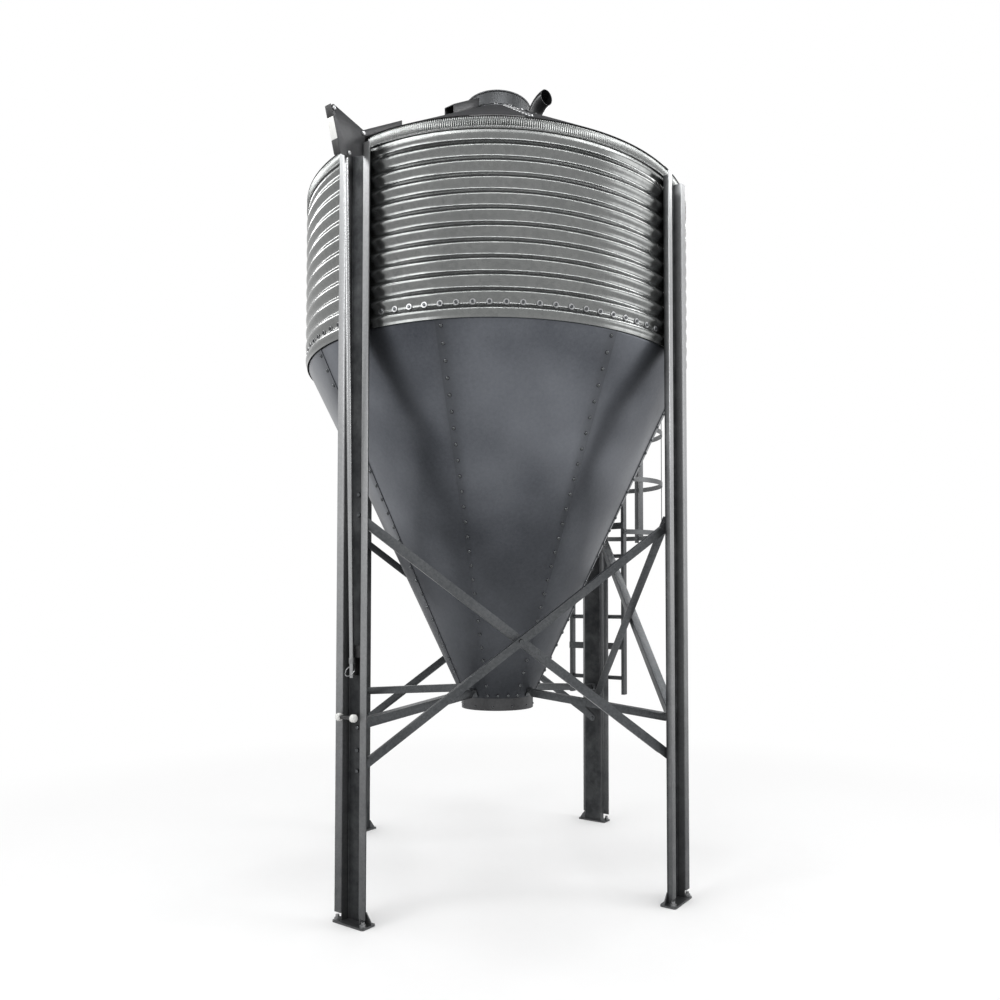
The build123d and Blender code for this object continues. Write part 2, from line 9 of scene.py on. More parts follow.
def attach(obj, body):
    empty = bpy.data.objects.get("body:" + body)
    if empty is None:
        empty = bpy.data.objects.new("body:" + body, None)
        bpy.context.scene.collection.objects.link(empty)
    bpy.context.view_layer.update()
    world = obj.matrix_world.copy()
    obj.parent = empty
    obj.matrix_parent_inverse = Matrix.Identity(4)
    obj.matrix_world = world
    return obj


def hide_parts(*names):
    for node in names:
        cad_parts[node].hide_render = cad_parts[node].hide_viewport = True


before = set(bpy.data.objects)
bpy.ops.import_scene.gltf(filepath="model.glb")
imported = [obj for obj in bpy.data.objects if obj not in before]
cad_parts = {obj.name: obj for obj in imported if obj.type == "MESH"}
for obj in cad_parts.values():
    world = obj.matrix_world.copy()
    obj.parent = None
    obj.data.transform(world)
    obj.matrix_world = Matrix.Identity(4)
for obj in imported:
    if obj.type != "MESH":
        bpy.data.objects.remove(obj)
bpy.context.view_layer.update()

bl_info = {
    "name": "Feed Silo",
    "version": (1, 0, 0),
    "blender": (4, 5, 0),
    "location": "3D View > Sidebar > Feed Silo",
    "description": "Builds a small galvanised feed silo piece by piece, with its finishes and a plain studio",
    "category": "Add Mesh",
}

# Places from the CAD frame, in metres: origin on the axis at ground level, front towards -Y
TANK_RADIUS = 0.970
WAVE_PITCH = 0.068
WAVE_ROWS = 11
WALL_LOW = 2.500
WALL_TOP = 3.290
FIRST_WAVE = 2.514
WALL_SHEET = 0.002
SHEET_GAP = 0.0006
EAVE_LOW = 3.282
EAVE_TOP = 3.334
EAVE_FACE = 0.9723
EAVE_FLANGE = 0.045
ROOF_SLOPE = math.radians(34.0)
ROOF_EDGE = 0.9763
ROOF_HOLE = 0.171
ROOF_SHEET = 0.002
PANEL_LAP = 1.5
ROOF_BOLTS = (0.245, 0.945)
UNDER_LIFT = 0.0003
OVER_LIFT = 0.0026
NECK_LIFT = 0.0049
NECK_RADIUS = 0.170
NECK_HEIGHT = 0.075
NECK_SHEET = 0.0025
NECK_FLANGE = 0.030
VENT_RADIUS = 0.0375
VENT_DISTANCE = 0.300
VENT_ANGLE = 300.0
VENT_BEND = 0.098
VENT_TURN = 58.0
VENT_RISE = 0.004
VENT_SHEET = 0.0025
HOPPER_TOP = 2.498
HOPPER_FLANGE_TOP = 2.578
HOPPER_LOW = 0.860
HOPPER_TOP_RADIUS = 0.9612
HOPPER_LOW_RADIUS = 0.190
HOPPER_SHEET = 0.002
HOPPER_LAP = 0.0023
HOPPER_BEND = 0.004
SEAM_BOLTS = (0.925, 2.478)
COLLAR_RADIUS = 0.1849
COLLAR_LOW = 0.798
COLLAR_SHEET = 0.003
SKIRT_BOLTS = 0.874
RIVETS = 0.818
LEG_WEB = 0.9768
LEG_HALF = 0.055
LEG_DEPTH = 0.046
LEG_LIP = 0.034
LEG_SHEET = 0.004
LEG_TOP = 3.278
FOOT_TOP = 0.008
NOTCH_TOP = 0.040
ANCHOR_OUT = 0.041
ANCHOR_SIDE = 0.075
WEB_BOLTS = (1.707, 1.794, 0.629, 0.716, 0.810)
WEB_BACK = 0.9724
CROSSING = (0.7196, 1.168)
SIDE_STEP = 0.087
LEGS = {"front_left": 225.0, "front_right": 315.0, "back_right": 45.0, "back_left": 135.0}
RAIL_IN = 1.0284
RAIL_OUT = 1.0684
LADDER_HALF = 0.184
RAIL_WIDTH = 0.020
RAIL_LOW = 0.775
RAIL_TOP = 3.770
RUNG_FIRST = 0.875
RUNG_PITCH = 0.375
RUNG_ROWS = 8
RUNG_RADIUS = 0.0125
BARS = (1.050, 1.790, 2.535, 3.190)
BAR_HEIGHT = 0.040
BAR_BOLTS = 0.072
HOOP_RADIUS = 0.2998
HOOP_SHEET = 0.004
HOOP_BAND = 0.030
HOOP_FIRST = 1.775
HOOP_PITCH = 0.328
HOOP_ROWS = 7
HOOP_TAB = 0.040
TAB_SIDE = 0.1983
HOOP_REACH = math.sqrt(HOOP_RADIUS ** 2 - TAB_SIDE ** 2)
CAGE_MIDDLE = RAIL_OUT + HOOP_REACH
STRAPS = (-120.0, -60.0, 0.0, 60.0, 120.0)
OPENER_LEG = 225.0
OPENER_SIDE = 0.0507
OPENER_SHEET = 0.004
OPENER_FOLD = 0.034
OPENER_ROOT = (1.0068, 3.334)
OPENER_TOP = (1.1958, 3.367)
OPENER_LOW = (1.1418, 3.179)
OPENER_TOE = (1.1038, 3.183)
OPENER_LAP = (1.0188, 3.228)
ROD_TOP = (1.1018, 0.0358, 3.212)
ROD_LOW = (1.0128, -0.003, 1.022)
CLEAT = (1.0408, -0.008, 0.858)
LADDER_LEG = 45.0

# Washers of the wall and roof
WALL_WASHER = 0.0135
ROOF_WASHER = 0.0115
WASHER_SHEET = 0.0019
WASHER_STEP = 0.0018

# Stage: where the floor turns white, how high the dark ceiling starts, and the camera
WHITE_FROM, WHITE_TO = 1.4, 4.5
CEILING_FROM, CEILING_TO = 0.50, 0.60
CAMERA_PLACE = (-0.60877, -4.2187, 1.33252)
CAMERA_YAW, CAMERA_PITCH = 0.1768, 0.0319
CAMERA_SHIFT = (-0.024899, 0.07737)


# Sizes and colours that a user may change


def length(name, default, description, least=0.0):
    return FloatProperty(name=name, default=default, min=least, unit="LENGTH", description=description)


def number(name, default, description, least):
    return IntProperty(name=name, default=default, min=least, description=description)


def shade(name, default, description):
    return FloatVectorProperty(name=name, default=default, subtype="COLOR", description=description)


def power(name, default, description):
    return FloatProperty(name=name, default=default, min=0.0, unit="POWER", description=description)


class SiloSizes(bpy.types.PropertyGroup):
    """Sizes of the fittings that the CAD leaves open."""

    wave_height: length("Wave height", 0.013, "Depth of the wall's rolled waves")
    wall_bolts: number("Wall bolts", 88, "Bolts in the wall's lowest valley", 8)
    crimps: number("Crimps", 650, "Crimps round the eave ring", 60)
    crimp_depth: length("Crimp depth", 0.0046, "Depth of one crimp in the eave ring")
    seam_bolts: number("Seam bolts", 25, "Bolts down one seam of the hopper", 4)
    roof_bolts: number("Roof bolts", 10, "Bolts down one seam of the roof", 3)
    panel_flatness: length("Panel flatness", 0.006, "How far the middle of a hopper panel sits inside the cone")
    bolt_head: length("Bolt head", 0.0085, "Radius of a bolt's head over its corners", 0.001)
    edge_round: length("Edge round", 0.0006, "Rounding of cut edges")


class SiloFinishes(bpy.types.PropertyGroup):
    """Colours of the finishes."""

    wall_light: shade("Wall light", (0.24, 0.245, 0.24), "Light grain of the bright zinc")
    wall_dark: shade("Wall dark", (0.12, 0.125, 0.125), "Dark grain of the bright zinc")
    hopper_light: shade("Hopper light", (0.17, 0.18, 0.20), "Light clouds of the dull coating")
    hopper_dark: shade("Hopper dark", (0.042, 0.046, 0.056), "Dark clouds of the dull coating")
    steel_light: shade("Steel light", (0.43, 0.435, 0.44), "Light grain of dipped steel")
    steel_dark: shade("Steel dark", (0.27, 0.275, 0.28), "Dark grain of dipped steel")
    brace_light: shade("Brace light", (0.125, 0.13, 0.135), "Light grain of the braces")
    brace_dark: shade("Brace dark", (0.05, 0.054, 0.058), "Dark grain of the braces")
    roof_light: shade("Roof light", (0.075, 0.075, 0.078), "Light clouds of the roof's coating")
    roof_dark: shade("Roof dark", (0.035, 0.036, 0.038), "Dark clouds of the roof's coating")
    black: shade("Black plastic", (0.012, 0.012, 0.013), "Moulded black plastic")
    white: shade("White plastic", (0.72, 0.72, 0.70), "White caps and strip")
    # This colour is also painted shade: the legs' channels and the strips beside the hopper's seams are darkened
    # towards it.
    grime_and_shade: shade("Darkening", (0.032, 0.034, 0.036), "Colour of the painted shade in the legs' channels and beside the hopper's seams, and of the darkening low down and in runs")


class SiloStage(bpy.types.PropertyGroup):
    """Floor, lamps and camera."""

    floor: shade("Floor", (0.86, 0.86, 0.86), "Pale floor")
    ring_power: power("Ring power", 110.0, "Each of the four long lamps round the silo")
    key_power: power("Key power", 80.0, "Large soft lamp at the left")
    fill_power: power("Fill power", 55.0, "Soft lamp at the right")
    sky: FloatProperty(name="Sky", default=0.52, min=0, description="Strength of the plain light from all round")
    lens: FloatProperty(
        name="Lens", default=29.3848, min=10, unit="CAMERA", description="Focal length of the camera")


# Mesh helpers


def turn(angle):
    """Turns a shape made along +X to an angle round the axis, in degrees."""
    return Matrix.Rotation(math.radians(angle), 4, "Z")


def outward(angle):
    """Direction away from the axis at an angle in degrees."""
    return turn(angle) @ Vector((1, 0, 0))


def move(x, y, z):
    return Matrix.Translation((x, y, z))


def roof_point(radius, lift):
    """Point on the roof's cone in the XZ plane, lifted square to the slope."""
    height = EAVE_TOP + (EAVE_FACE - radius) * math.tan(ROOF_SLOPE) + lift / math.cos(ROOF_SLOPE)
    return Vector((radius, 0.0, height))


HOPPER_ANGLE = math.atan2(HOPPER_TOP - HOPPER_LOW, HOPPER_TOP_RADIUS - HOPPER_LOW_RADIUS)
ROOF_NORMAL = Vector((math.sin(ROOF_SLOPE), 0, math.cos(ROOF_SLOPE)))


def hopper_radius(z, inset=0.0):
    """Radius of the hopper's outer face at a height."""
    return HOPPER_LOW_RADIUS - inset / math.sin(HOPPER_ANGLE) + (z - HOPPER_LOW) / math.tan(HOPPER_ANGLE)


def between(angle, other):
    """Smallest angle between two directions, in degrees."""
    return abs((angle - other + 180.0) % 360.0 - 180.0)


def clear_of_legs(angle, gap):
    return min(between(angle, leg) for leg in LEGS.values()) >= gap


def new_points(parts):
    """Picks the vertices out of what an operator returned."""
    return [part for part in parts if isinstance(part, bmesh.types.BMVert)]


def outline(bm, points, closed=False):
    """Joins points with edges."""
    verts = [bm.verts.new(p) for p in points]
    edges = [bm.edges.new(pair) for pair in zip(verts, verts[1:])]
    if closed:
        edges.append(bm.edges.new((verts[-1], verts[0])))
    return verts, edges


def spin_round(bm, start, sweep, steps):
    """Turns what the mesh holds round the silo's axis."""
    bmesh.ops.rotate(bm, verts=bm.verts[:], cent=(0, 0, 0), matrix=turn(start).to_3x3())
    bmesh.ops.spin(
        bm, geom=bm.verts[:] + bm.edges[:], cent=(0, 0, 0), axis=(0, 0, 1),
        angle=math.radians(sweep), steps=steps, use_merge=sweep >= 360.0, use_duplicate=False,
    )


def recalc(bm):
    """Points a mesh's faces outwards."""
    bmesh.ops.recalc_face_normals(bm, faces=bm.faces[:])


def spun_ring(points, steps):
    """A closed outline in the XZ plane, spun all the way round."""
    bm = bmesh.new()
    outline(bm, points, closed=True)
    spin_round(bm, 0.0, 360.0, steps)
    recalc(bm)
    return bm


def face_out(bm, towards=None):
    """Points an open sheet's faces away from the silo's axis, or along a direction."""
    recalc(bm)
    total = 0.0
    for face in bm.faces:
        middle = face.calc_center_median()
        away = towards if towards is not None else Vector((middle.x, middle.y, 0.0))
        total += face.normal.dot(away) * face.calc_area()
    if total < 0:
        bmesh.ops.reverse_faces(bm, faces=bm.faces[:])


def thicken(bm, thickness, towards=None):
    """Gives an open sheet its thickness on its inner side."""
    face_out(bm, towards)
    bmesh.ops.solidify(bm, geom=bm.faces[:], thickness=thickness)
    recalc(bm)


def round_edges(bm, width, segments=2, limit=30.0):
    """Rounds the edges that are sharper than a limit."""
    sharp = [e for e in bm.edges if len(e.link_faces) == 2 and e.calc_face_angle(0.0) > math.radians(limit)]
    if sharp and width > 0:
        bmesh.ops.bevel(
            bm, geom=sharp, offset=width, offset_type="OFFSET", segments=segments,
            profile=0.5, affect="EDGES", clamp_overlap=True, material=-1,
        )


def join(bm, part, place=None):
    """Adds a finished part to a mesh and frees it."""
    if place is not None:
        bmesh.ops.transform(part, matrix=place, verts=part.verts[:])
    mesh = bpy.data.meshes.new("part")
    part.to_mesh(mesh)
    part.free()
    bm.from_mesh(mesh)
    bpy.data.meshes.remove(mesh)


def add_bar(bm, low, high, width=0.0, place=None):
    """A flat bar between two corners, with rounded edges, set in place."""
    part = bmesh.new()
    bmesh.ops.create_cube(part, size=1.0)
    bmesh.ops.scale(part, verts=part.verts[:], vec=Vector(high) - Vector(low))
    bmesh.ops.translate(part, verts=part.verts[:], vec=(Vector(low) + Vector(high)) / 2)
    round_edges(part, width)
    join(bm, part, place)


def add_rod(bm, start, end, radius, segments=20, width=0.0, place=None):
    """A round bar between two points, with its ends rounded."""
    start, end = Vector(start), Vector(end)
    run = end - start
    part = bmesh.new()
    bmesh.ops.create_cone(
        part, cap_ends=True, cap_tris=False, segments=segments, radius1=radius, radius2=radius, depth=run.length,
        matrix=Matrix.Translation((start + end) / 2) @ run.to_track_quat("Z", "Y").to_matrix().to_4x4(),
    )
    round_edges(part, width, segments=3, limit=60.0)
    join(bm, part, place)


def add_ring(bm, radius, wire, place, steps=28, sides=10):
    """A round wire bent into a closed ring round +Z."""
    part = bmesh.new()
    bmesh.ops.create_circle(
        part, cap_ends=False, segments=sides, radius=wire,
        matrix=move(radius, 0, 0) @ Matrix.Rotation(math.pi / 2, 4, "X"),
    )
    bmesh.ops.spin(
        part, geom=part.verts[:] + part.edges[:], cent=(0, 0, 0), axis=(0, 0, 1), angle=math.tau,
        steps=steps, use_merge=True, use_duplicate=False,
    )
    recalc(part)
    join(bm, part, place)


def bolt_head(head, sides=6, taper=1.0, height=0.55, crowns=((0.22, 0.18),)):
    """A bolt head with its crown, standing on the XY plane. Taper, height and crowns are shares of its radius."""
    bm = bmesh.new()
    bmesh.ops.create_cone(
        bm, cap_ends=True, segments=sides, radius1=head, radius2=head * taper, depth=head * height,
        matrix=move(0, 0, head * height / 2))
    top = max(bm.faces, key=lambda face: face.calc_center_median().z)
    for inset, rise in crowns:
        bmesh.ops.inset_region(bm, faces=[top], thickness=head * inset, depth=head * rise)
    recalc(bm)
    return bm


def dome_head(head):
    """A round bolt head, standing on the XY plane."""
    return bolt_head(head, 10, 0.94, 0.35, ((0.24, 0.26), (0.34, 0.14)))


def washer(radius, thickness, segments=12):
    """A plain washer, standing on the XY plane."""
    bm = bmesh.new()
    bmesh.ops.create_cone(
        bm, cap_ends=True, segments=segments, radius1=radius, radius2=radius * 0.93, depth=thickness,
        matrix=move(0, 0, thickness / 2))
    return bm


def facing(place, direction, twist=0.0):
    """Places a shape's +Z along a direction."""
    rotation = Vector(direction).to_track_quat("Z", "Y").to_matrix().to_4x4()
    return Matrix.Translation(Vector(place)) @ rotation @ Matrix.Rotation(twist, 4, "Z")


def scatter(bm, part, places):
    """Repeats a small part at each place and frees it."""
    mesh = bpy.data.meshes.new("part")
    part.to_mesh(mesh)
    part.free()
    for place in places:
        mesh.transform(place)
        bm.from_mesh(mesh)
        mesh.transform(place.inverted())
    bpy.data.meshes.remove(mesh)


def finish_piece(name, bm, finish, stands_for=(), crease=35.0, flat=False):
    """Makes the object, lets it ride on the frame and gives it its finish."""
    mesh = bpy.data.meshes.new(name)
    bm.to_mesh(mesh)
    bm.free()
    if not flat:
        mesh.shade_smooth()
        mesh.set_sharp_from_angle(angle=math.radians(crease))
    piece = bpy.data.objects.new(name, mesh)
    bpy.context.scene.collection.objects.link(piece)
    mesh.materials.append(finish)
    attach(piece, "root")
    if stands_for:
        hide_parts(*stands_for)
    return piece


def finish_bolts(name, head, places, finish, domed=False):
    """Makes one piece of all the bolts of a kind."""
    bm = bmesh.new()
    scatter(bm, head, places)
    finish_piece(name, bm, finish, crease=50.0, flat=not domed)


def softened(name, nodes, finish, width, crease=35.0):
    """Copies of CAD nodes, merged, with their cut edges rounded."""
    bm = bmesh.new()
    for node in nodes:
        bm.from_mesh(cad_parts[node].data)
    bmesh.ops.remove_doubles(bm, verts=bm.verts[:], dist=0.00002)
    bmesh.ops.dissolve_limit(
        bm, angle_limit=math.radians(1.0), use_dissolve_boundaries=False, verts=bm.verts[:], edges=bm.edges[:]
    )
    recalc(bm)
    round_edges(bm, width)
    return finish_piece(name, bm, finish, stands_for=nodes, crease=crease)


# Finishes


def set_inputs(tree, node, values):
    """Sets a node's inputs, by name or number, to values or to other nodes' outputs."""
    for socket, value in values.items():
        if isinstance(value, bpy.types.NodeSocket):
            tree.links.new(value, node.inputs[socket])
        elif value is not None:
            node.inputs[socket].default_value = value


def add_node(tree, kind, values=None, **settings):
    """A shader node with its settings and inputs."""
    node = tree.nodes.new("ShaderNode" + kind)
    for setting, value in settings.items():
        setattr(node, setting, value)
    set_inputs(tree, node, values or {})
    return node


def add_math(tree, operation, first, second, third=None, clamp=False):
    node = add_node(tree, "Math", {0: first, 1: second, 2: third}, operation=operation, use_clamp=clamp)
    return node.outputs[0]


def add_mix(tree, factor, first, second):
    return add_node(tree, "Mix", {0: factor, 6: first, 7: second}, data_type="RGBA").outputs[2]


def add_noise(tree, vector, scale, detail, rough):
    values = {"Vector": vector, "Scale": scale, "Detail": detail, "Roughness": rough}
    return add_node(tree, "TexNoise", values).outputs["Fac"]


def new_group(name, inputs, outputs):
    """An empty node group. An input without a value is a vector, and one with four numbers a colour."""
    tree = bpy.data.node_groups.new(name, "ShaderNodeTree")
    for label, value in inputs.items():
        kind = "Vector" if value is None else "Color" if isinstance(value, tuple) else "Float"
        socket = tree.interface.new_socket(name=label, in_out="INPUT", socket_type="NodeSocket" + kind)
        if value is not None:
            socket.default_value = value
    for label, kind in outputs.items():
        tree.interface.new_socket(name=label, in_out="OUTPUT", socket_type="NodeSocket" + kind)
    return tree, tree.nodes.new("NodeGroupInput").outputs, tree.nodes.new("NodeGroupOutput")


def zinc_grain():
    """Crystals of zinc: each grain a little lighter or darker, with soft clouds over them."""
    if "zinc grain" in bpy.data.node_groups:
        return bpy.data.node_groups["zinc grain"]
    tree, start, end = new_group(
        "zinc grain",
        {"Vector": None, "Light": (0.5, 0.5, 0.5, 1), "Dark": (0.3, 0.3, 0.3, 1), "Grain Scale": 90.0,
         "Grain": 0.5, "Cloud Scale": 3.2, "Clouds": 0.7},
        {"Colour": "Color", "Value": "Float", "Height": "Float"})
    cells = add_node(tree, "TexVoronoi", {"Vector": start["Vector"], "Scale": start["Grain Scale"]})
    parts = add_node(tree, "SeparateColor", {0: cells.outputs["Color"]}).outputs
    clouds = add_noise(tree, start["Vector"], start["Cloud Scale"], 2.5, 0.5)
    fine = add_noise(tree, start["Vector"], 60.0, 3.0, 0.6)
    grain, cloud, small = (
        add_math(tree, "MULTIPLY", add_math(tree, "SUBTRACT", source, 0.5), amount)
        for source, amount in ((parts[0], start["Grain"]), (clouds, start["Clouds"]), (fine, 0.25)))
    value = add_math(tree, "ADD", add_math(tree, "ADD", grain, cloud), small)
    value = add_math(tree, "ADD", value, 0.5, clamp=True)
    set_inputs(tree, end, {
        "Colour": add_mix(tree, value, start["Dark"], start["Light"]), "Value": value,
        "Height": add_math(tree, "ADD", fine, parts[1])})
    return tree


def darkening():
    """Darker towards the bottom, painted shade where the mesh's channel weight marks it, and faint runs from
    rain.
    """
    if "darkening" in bpy.data.node_groups:
        return bpy.data.node_groups["darkening"]
    tree, start, end = new_group(
        "darkening",
        {"Vector": None, "Colour": (0.5, 0.5, 0.5, 1), "Darkening Colour": (0.2, 0.2, 0.2, 1), "Painted Shade": 0.0,
         "Darkening": 0.6, "Low": 0.0, "High": 1.2, "Runs": 0.2},
        {"Colour": "Color", "Mask": "Float"})
    height = add_node(tree, "SeparateXYZ", {0: start["Vector"]}).outputs["Z"]
    # Darker towards the bottom, between the heights Low and High.
    below = add_node(
        tree, "MapRange",
        {"Value": height, "From Min": start["Low"], "From Max": start["High"], "To Min": 1.0, "To Max": 0.0},
        interpolation_type="SMOOTHSTEP").outputs[0]
    uneven = add_math(tree, "MULTIPLY_ADD", add_noise(tree, start["Vector"], 9.0, 5.0, 0.65), 0.5, 0.75)
    low = add_math(tree, "MULTIPLY", below, uneven, clamp=True)
    low = add_math(tree, "MULTIPLY", low, start["Darkening"], clamp=True)
    stretched = add_node(tree, "Mapping", {"Vector": start["Vector"], "Scale": (26.0, 26.0, 0.9)}).outputs[0]
    runs = add_math(tree, "SUBTRACT", add_noise(tree, stretched, 1.0, 3.0, 0.6), 0.52)
    runs = add_math(tree, "MULTIPLY", runs, 4.0, clamp=True)
    runs = add_math(tree, "MULTIPLY", runs, start["Runs"], clamp=True)
    # Painted shade, from the mesh's channel weight: the legs' hollows and the strips beside the hopper's seams.
    painted_shade = add_math(tree, "MULTIPLY", start["Painted Shade"], uneven, clamp=True)
    mask = add_math(tree, "MAXIMUM", add_math(tree, "MAXIMUM", low, runs), painted_shade)
    set_inputs(tree, end, {
        "Colour": add_mix(tree, mask, start["Colour"], start["Darkening Colour"]), "Mask": mask})
    return tree


def opaque(colour):
    return (colour[0], colour[1], colour[2], 1.0)


def new_material(name):
    """A material, its node tree and shader, and the object's own coordinates."""
    material = bpy.data.materials.new(name)
    material.use_nodes = True
    tree = material.node_tree
    return material, tree, tree.nodes["Principled BSDF"], add_node(tree, "TexCoord").outputs["Object"]


def zinc_finish(name, light, dark, grime_and_shade, metal, rough, grain=(90.0, 0.5), clouds=(3.2, 0.7), low=(0.0, 1.2, 0.6),
                runs=0.2, dents=0.0, specular=0.5, tooth=0.05, channel=0.0):
    """A zinc coat on steel: grain, darker towards the bottom, painted shade where the mesh's channel weight marks
    it, uneven gloss and the sheet's soft dents.

    Grain and clouds are a scale and a strength, low is two heights and a strength.
    """
    if name in bpy.data.materials:
        return bpy.data.materials[name]
    material, tree, shader, place = new_material(name)
    grains = add_node(tree, "Group", {
        "Vector": place, "Light": opaque(light), "Dark": opaque(dark), "Grain Scale": grain[0], "Grain": grain[1],
        "Cloud Scale": clouds[0], "Clouds": clouds[1]}, node_tree=zinc_grain()).outputs
    darkened = add_node(tree, "Group", {
        "Vector": place, "Colour": grains["Colour"], "Darkening Colour": opaque(grime_and_shade), "Low": low[0], "High": low[1],
        "Darkening": low[2], "Runs": runs}, node_tree=darkening())
    # Painted shade: the mesh's channel weight, scaled by channel, darkens the finish.
    if channel > 0:
        shade_weight = add_node(tree, "Attribute", attribute_name="channel").outputs["Fac"]
        set_inputs(tree, darkened, {"Painted Shade": add_math(tree, "MULTIPLY", shade_weight, channel)})
    gloss = add_math(tree, "MULTIPLY_ADD", grains["Value"], -0.14, rough + 0.07)
    gloss = add_math(tree, "MULTIPLY_ADD", darkened.outputs["Mask"], 0.25, gloss, clamp=True)
    fine = add_node(tree, "Bump", {"Strength": tooth, "Distance": 0.0004, "Height": grains["Height"]})
    if dents > 0:
        wide = add_node(tree, "Bump", {
            "Strength": 1.0, "Distance": dents, "Height": add_noise(tree, place, 2.6, 1.0, 0.4)})
        set_inputs(tree, fine, {"Normal": wide.outputs["Normal"]})
    set_inputs(tree, shader, {
        "Base Color": darkened.outputs["Colour"], "Roughness": gloss, "Metallic": metal,
        "Specular IOR Level": specular, "Normal": fine.outputs["Normal"]})
    return material


def plastic_finish(name, colour, rough=0.45, scuff=0.06):
    """Moulded plastic with a fine texture and a little scuffing."""
    if name in bpy.data.materials:
        return bpy.data.materials[name]
    material, tree, shader, place = new_material(name)
    patches = add_noise(tree, place, 25.0, 4.0, 0.6)
    pits = add_noise(tree, place, 900.0, 2.0, 0.5)
    lighter = [min(1.0, c + scuff) for c in colour]
    amount = add_math(tree, "MULTIPLY", add_math(tree, "SUBTRACT", patches, 0.45), 1.2, clamp=True)
    bump = add_node(tree, "Bump", {"Strength": 0.15, "Distance": 0.0003, "Height": pits})
    set_inputs(tree, shader, {
        "Base Color": add_mix(tree, amount, opaque(colour), opaque(lighter)),
        "Roughness": add_math(tree, "MULTIPLY_ADD", patches, 0.2, rough - 0.1),
        "Normal": bump.outputs["Normal"]})
    return material


def wall_zinc(f):
    return zinc_finish("bright zinc wall", f.wall_light, f.wall_dark, f.grime_and_shade, 0.95, 0.24,
                       grain=(55.0, 0.20), clouds=(4.0, 0.5), low=(2.3, 2.6, 0.0), runs=0.05, tooth=0.02)


def hopper_coat(f):
    # The channel weight paints shade beside the panels' seams, and the coat grows darker towards the bottom.
    return zinc_finish("dull hopper coat", f.hopper_light, f.hopper_dark, f.grime_and_shade, 0.8, 0.36,
                       grain=(160.0, 0.06), clouds=(1.6, 2.2), low=(0.6, 2.5, 0.62), runs=0.06, dents=0.03,
                       tooth=0.02, channel=0.45)


def dipped_steel(f):
    # The channel weight paints shade into the legs' hollows, from the web out towards the lips.
    return zinc_finish("dipped steel", f.steel_light, f.steel_dark, f.grime_and_shade, 0.85, 0.34,
                       grain=(130.0, 0.30), clouds=(3.2, 0.8), low=(-0.2, 2.2, 0.80), runs=0.15, channel=0.95)


def brace_steel(f):
    return zinc_finish("brace steel", f.brace_light, f.brace_dark, f.grime_and_shade, 0.8, 0.38,
                       grain=(130.0, 0.35), clouds=(3.2, 0.9), low=(0.3, 1.4, 0.2), runs=0.1)


def ladder_steel(f):
    return zinc_finish("ladder steel", f.brace_light, f.steel_dark, f.grime_and_shade, 0.8, 0.40,
                       grain=(150.0, 0.3), clouds=(3.2, 0.6), low=(0.5, 3.6, 0.7), runs=0.12)


def roof_coat(f):
    return zinc_finish("roof coat", f.roof_light, f.roof_dark, f.grime_and_shade, 0.35, 0.52,
                       grain=(120.0, 0.25), clouds=(3.2, 0.9), low=(2.0, 2.1, 0.0), runs=0.12, dents=0.006,
                       specular=0.4)


def bolt_zinc(f):
    return zinc_finish("bolt zinc", f.steel_light, f.steel_dark, f.grime_and_shade, 0.95, 0.28,
                       grain=(260.0, 0.4), clouds=(9.0, 0.6), low=(0.0, 1.4, 0.4), runs=0.1)


def dark_bolt(f):
    return zinc_finish("dark bolt", f.brace_light, f.brace_dark, f.grime_and_shade, 0.95, 0.22,
                       grain=(260.0, 0.4), clouds=(9.0, 0.6), low=(0.0, 1.0, 0.2), runs=0.1)


def neck_zinc(f):
    return zinc_finish("neck zinc", f.brace_light, f.roof_dark, f.grime_and_shade, 0.85, 0.26,
                       grain=(90.0, 0.15), clouds=(7.0, 0.9), low=(2.0, 2.1, 0.0), runs=0.15, tooth=0.02)


def dark_plate(f):
    return zinc_finish("dark plate", f.roof_light, f.roof_dark, f.grime_and_shade, 0.5, 0.42,
                       grain=(140.0, 0.2), clouds=(5.0, 0.6), low=(2.0, 2.1, 0.0), runs=0.15)


def vent_paint(f):
    return zinc_finish("vent paint", f.roof_dark, f.black, f.grime_and_shade, 0.3, 0.28,
                       grain=(140.0, 0.1), clouds=(9.0, 0.6), low=(2.0, 2.1, 0.0), runs=0.1)


def black_plastic(f):
    return plastic_finish("black plastic", f.black)


def white_plastic(f):
    return plastic_finish("white plastic", f.white, rough=0.4, scuff=0.05)


# Tank


def make_wall(sizes, f):
    """Corrugated sheets: a line that follows the waves, spun a quarter round and given its thickness."""
    half = sizes.wave_height / 2
    gap = math.degrees(SHEET_GAP / TANK_RADIUS)
    for side, start in {"front": 225.0, "right": 315.0, "back": 45.0, "left": 135.0}.items():
        bm = bmesh.new()
        _, edges = outline(bm, [(TANK_RADIUS, 0, WALL_LOW), (TANK_RADIUS, 0, WALL_TOP)])
        bmesh.ops.subdivide_edges(bm, edges=edges, cuts=157)
        for v in bm.verts:
            turns = (v.co.z - FIRST_WAVE) / WAVE_PITCH
            if 0.0 < turns < WAVE_ROWS:
                v.co.x = TANK_RADIUS + half * math.sin(turns * math.tau)
        spin_round(bm, start + gap / 2, 90.0 - gap, 56)
        thicken(bm, WALL_SHEET)
        finish_piece("wall_sheet_rolled_" + side, bm, wall_zinc(f),
                     stands_for=("wall_sheet_" + side,), crease=60.0)


def make_wall_bolts(sizes, f):
    """Bolts on their washers in the lowest valley of the wall."""
    valley = Vector((0, 0, FIRST_WAVE + WAVE_PITCH * 0.75))
    floor = TANK_RADIUS - sizes.wave_height / 2 + 0.0026
    low, high = [], []
    for count in range(sizes.wall_bolts):
        angle = 360.0 * (count + 0.5) / sizes.wall_bolts
        if clear_of_legs(angle, 3.2):
            out = outward(angle)
            low.append(facing(out * floor + valley, out, count))
            high.append(facing(out * (floor + WASHER_STEP) + valley, out, count))
    finish_bolts("wall_washers", washer(WALL_WASHER, WASHER_SHEET), low, bolt_zinc(f))
    finish_bolts("wall_bolts", bolt_head(sizes.bolt_head * 0.86), high, dark_bolt(f))


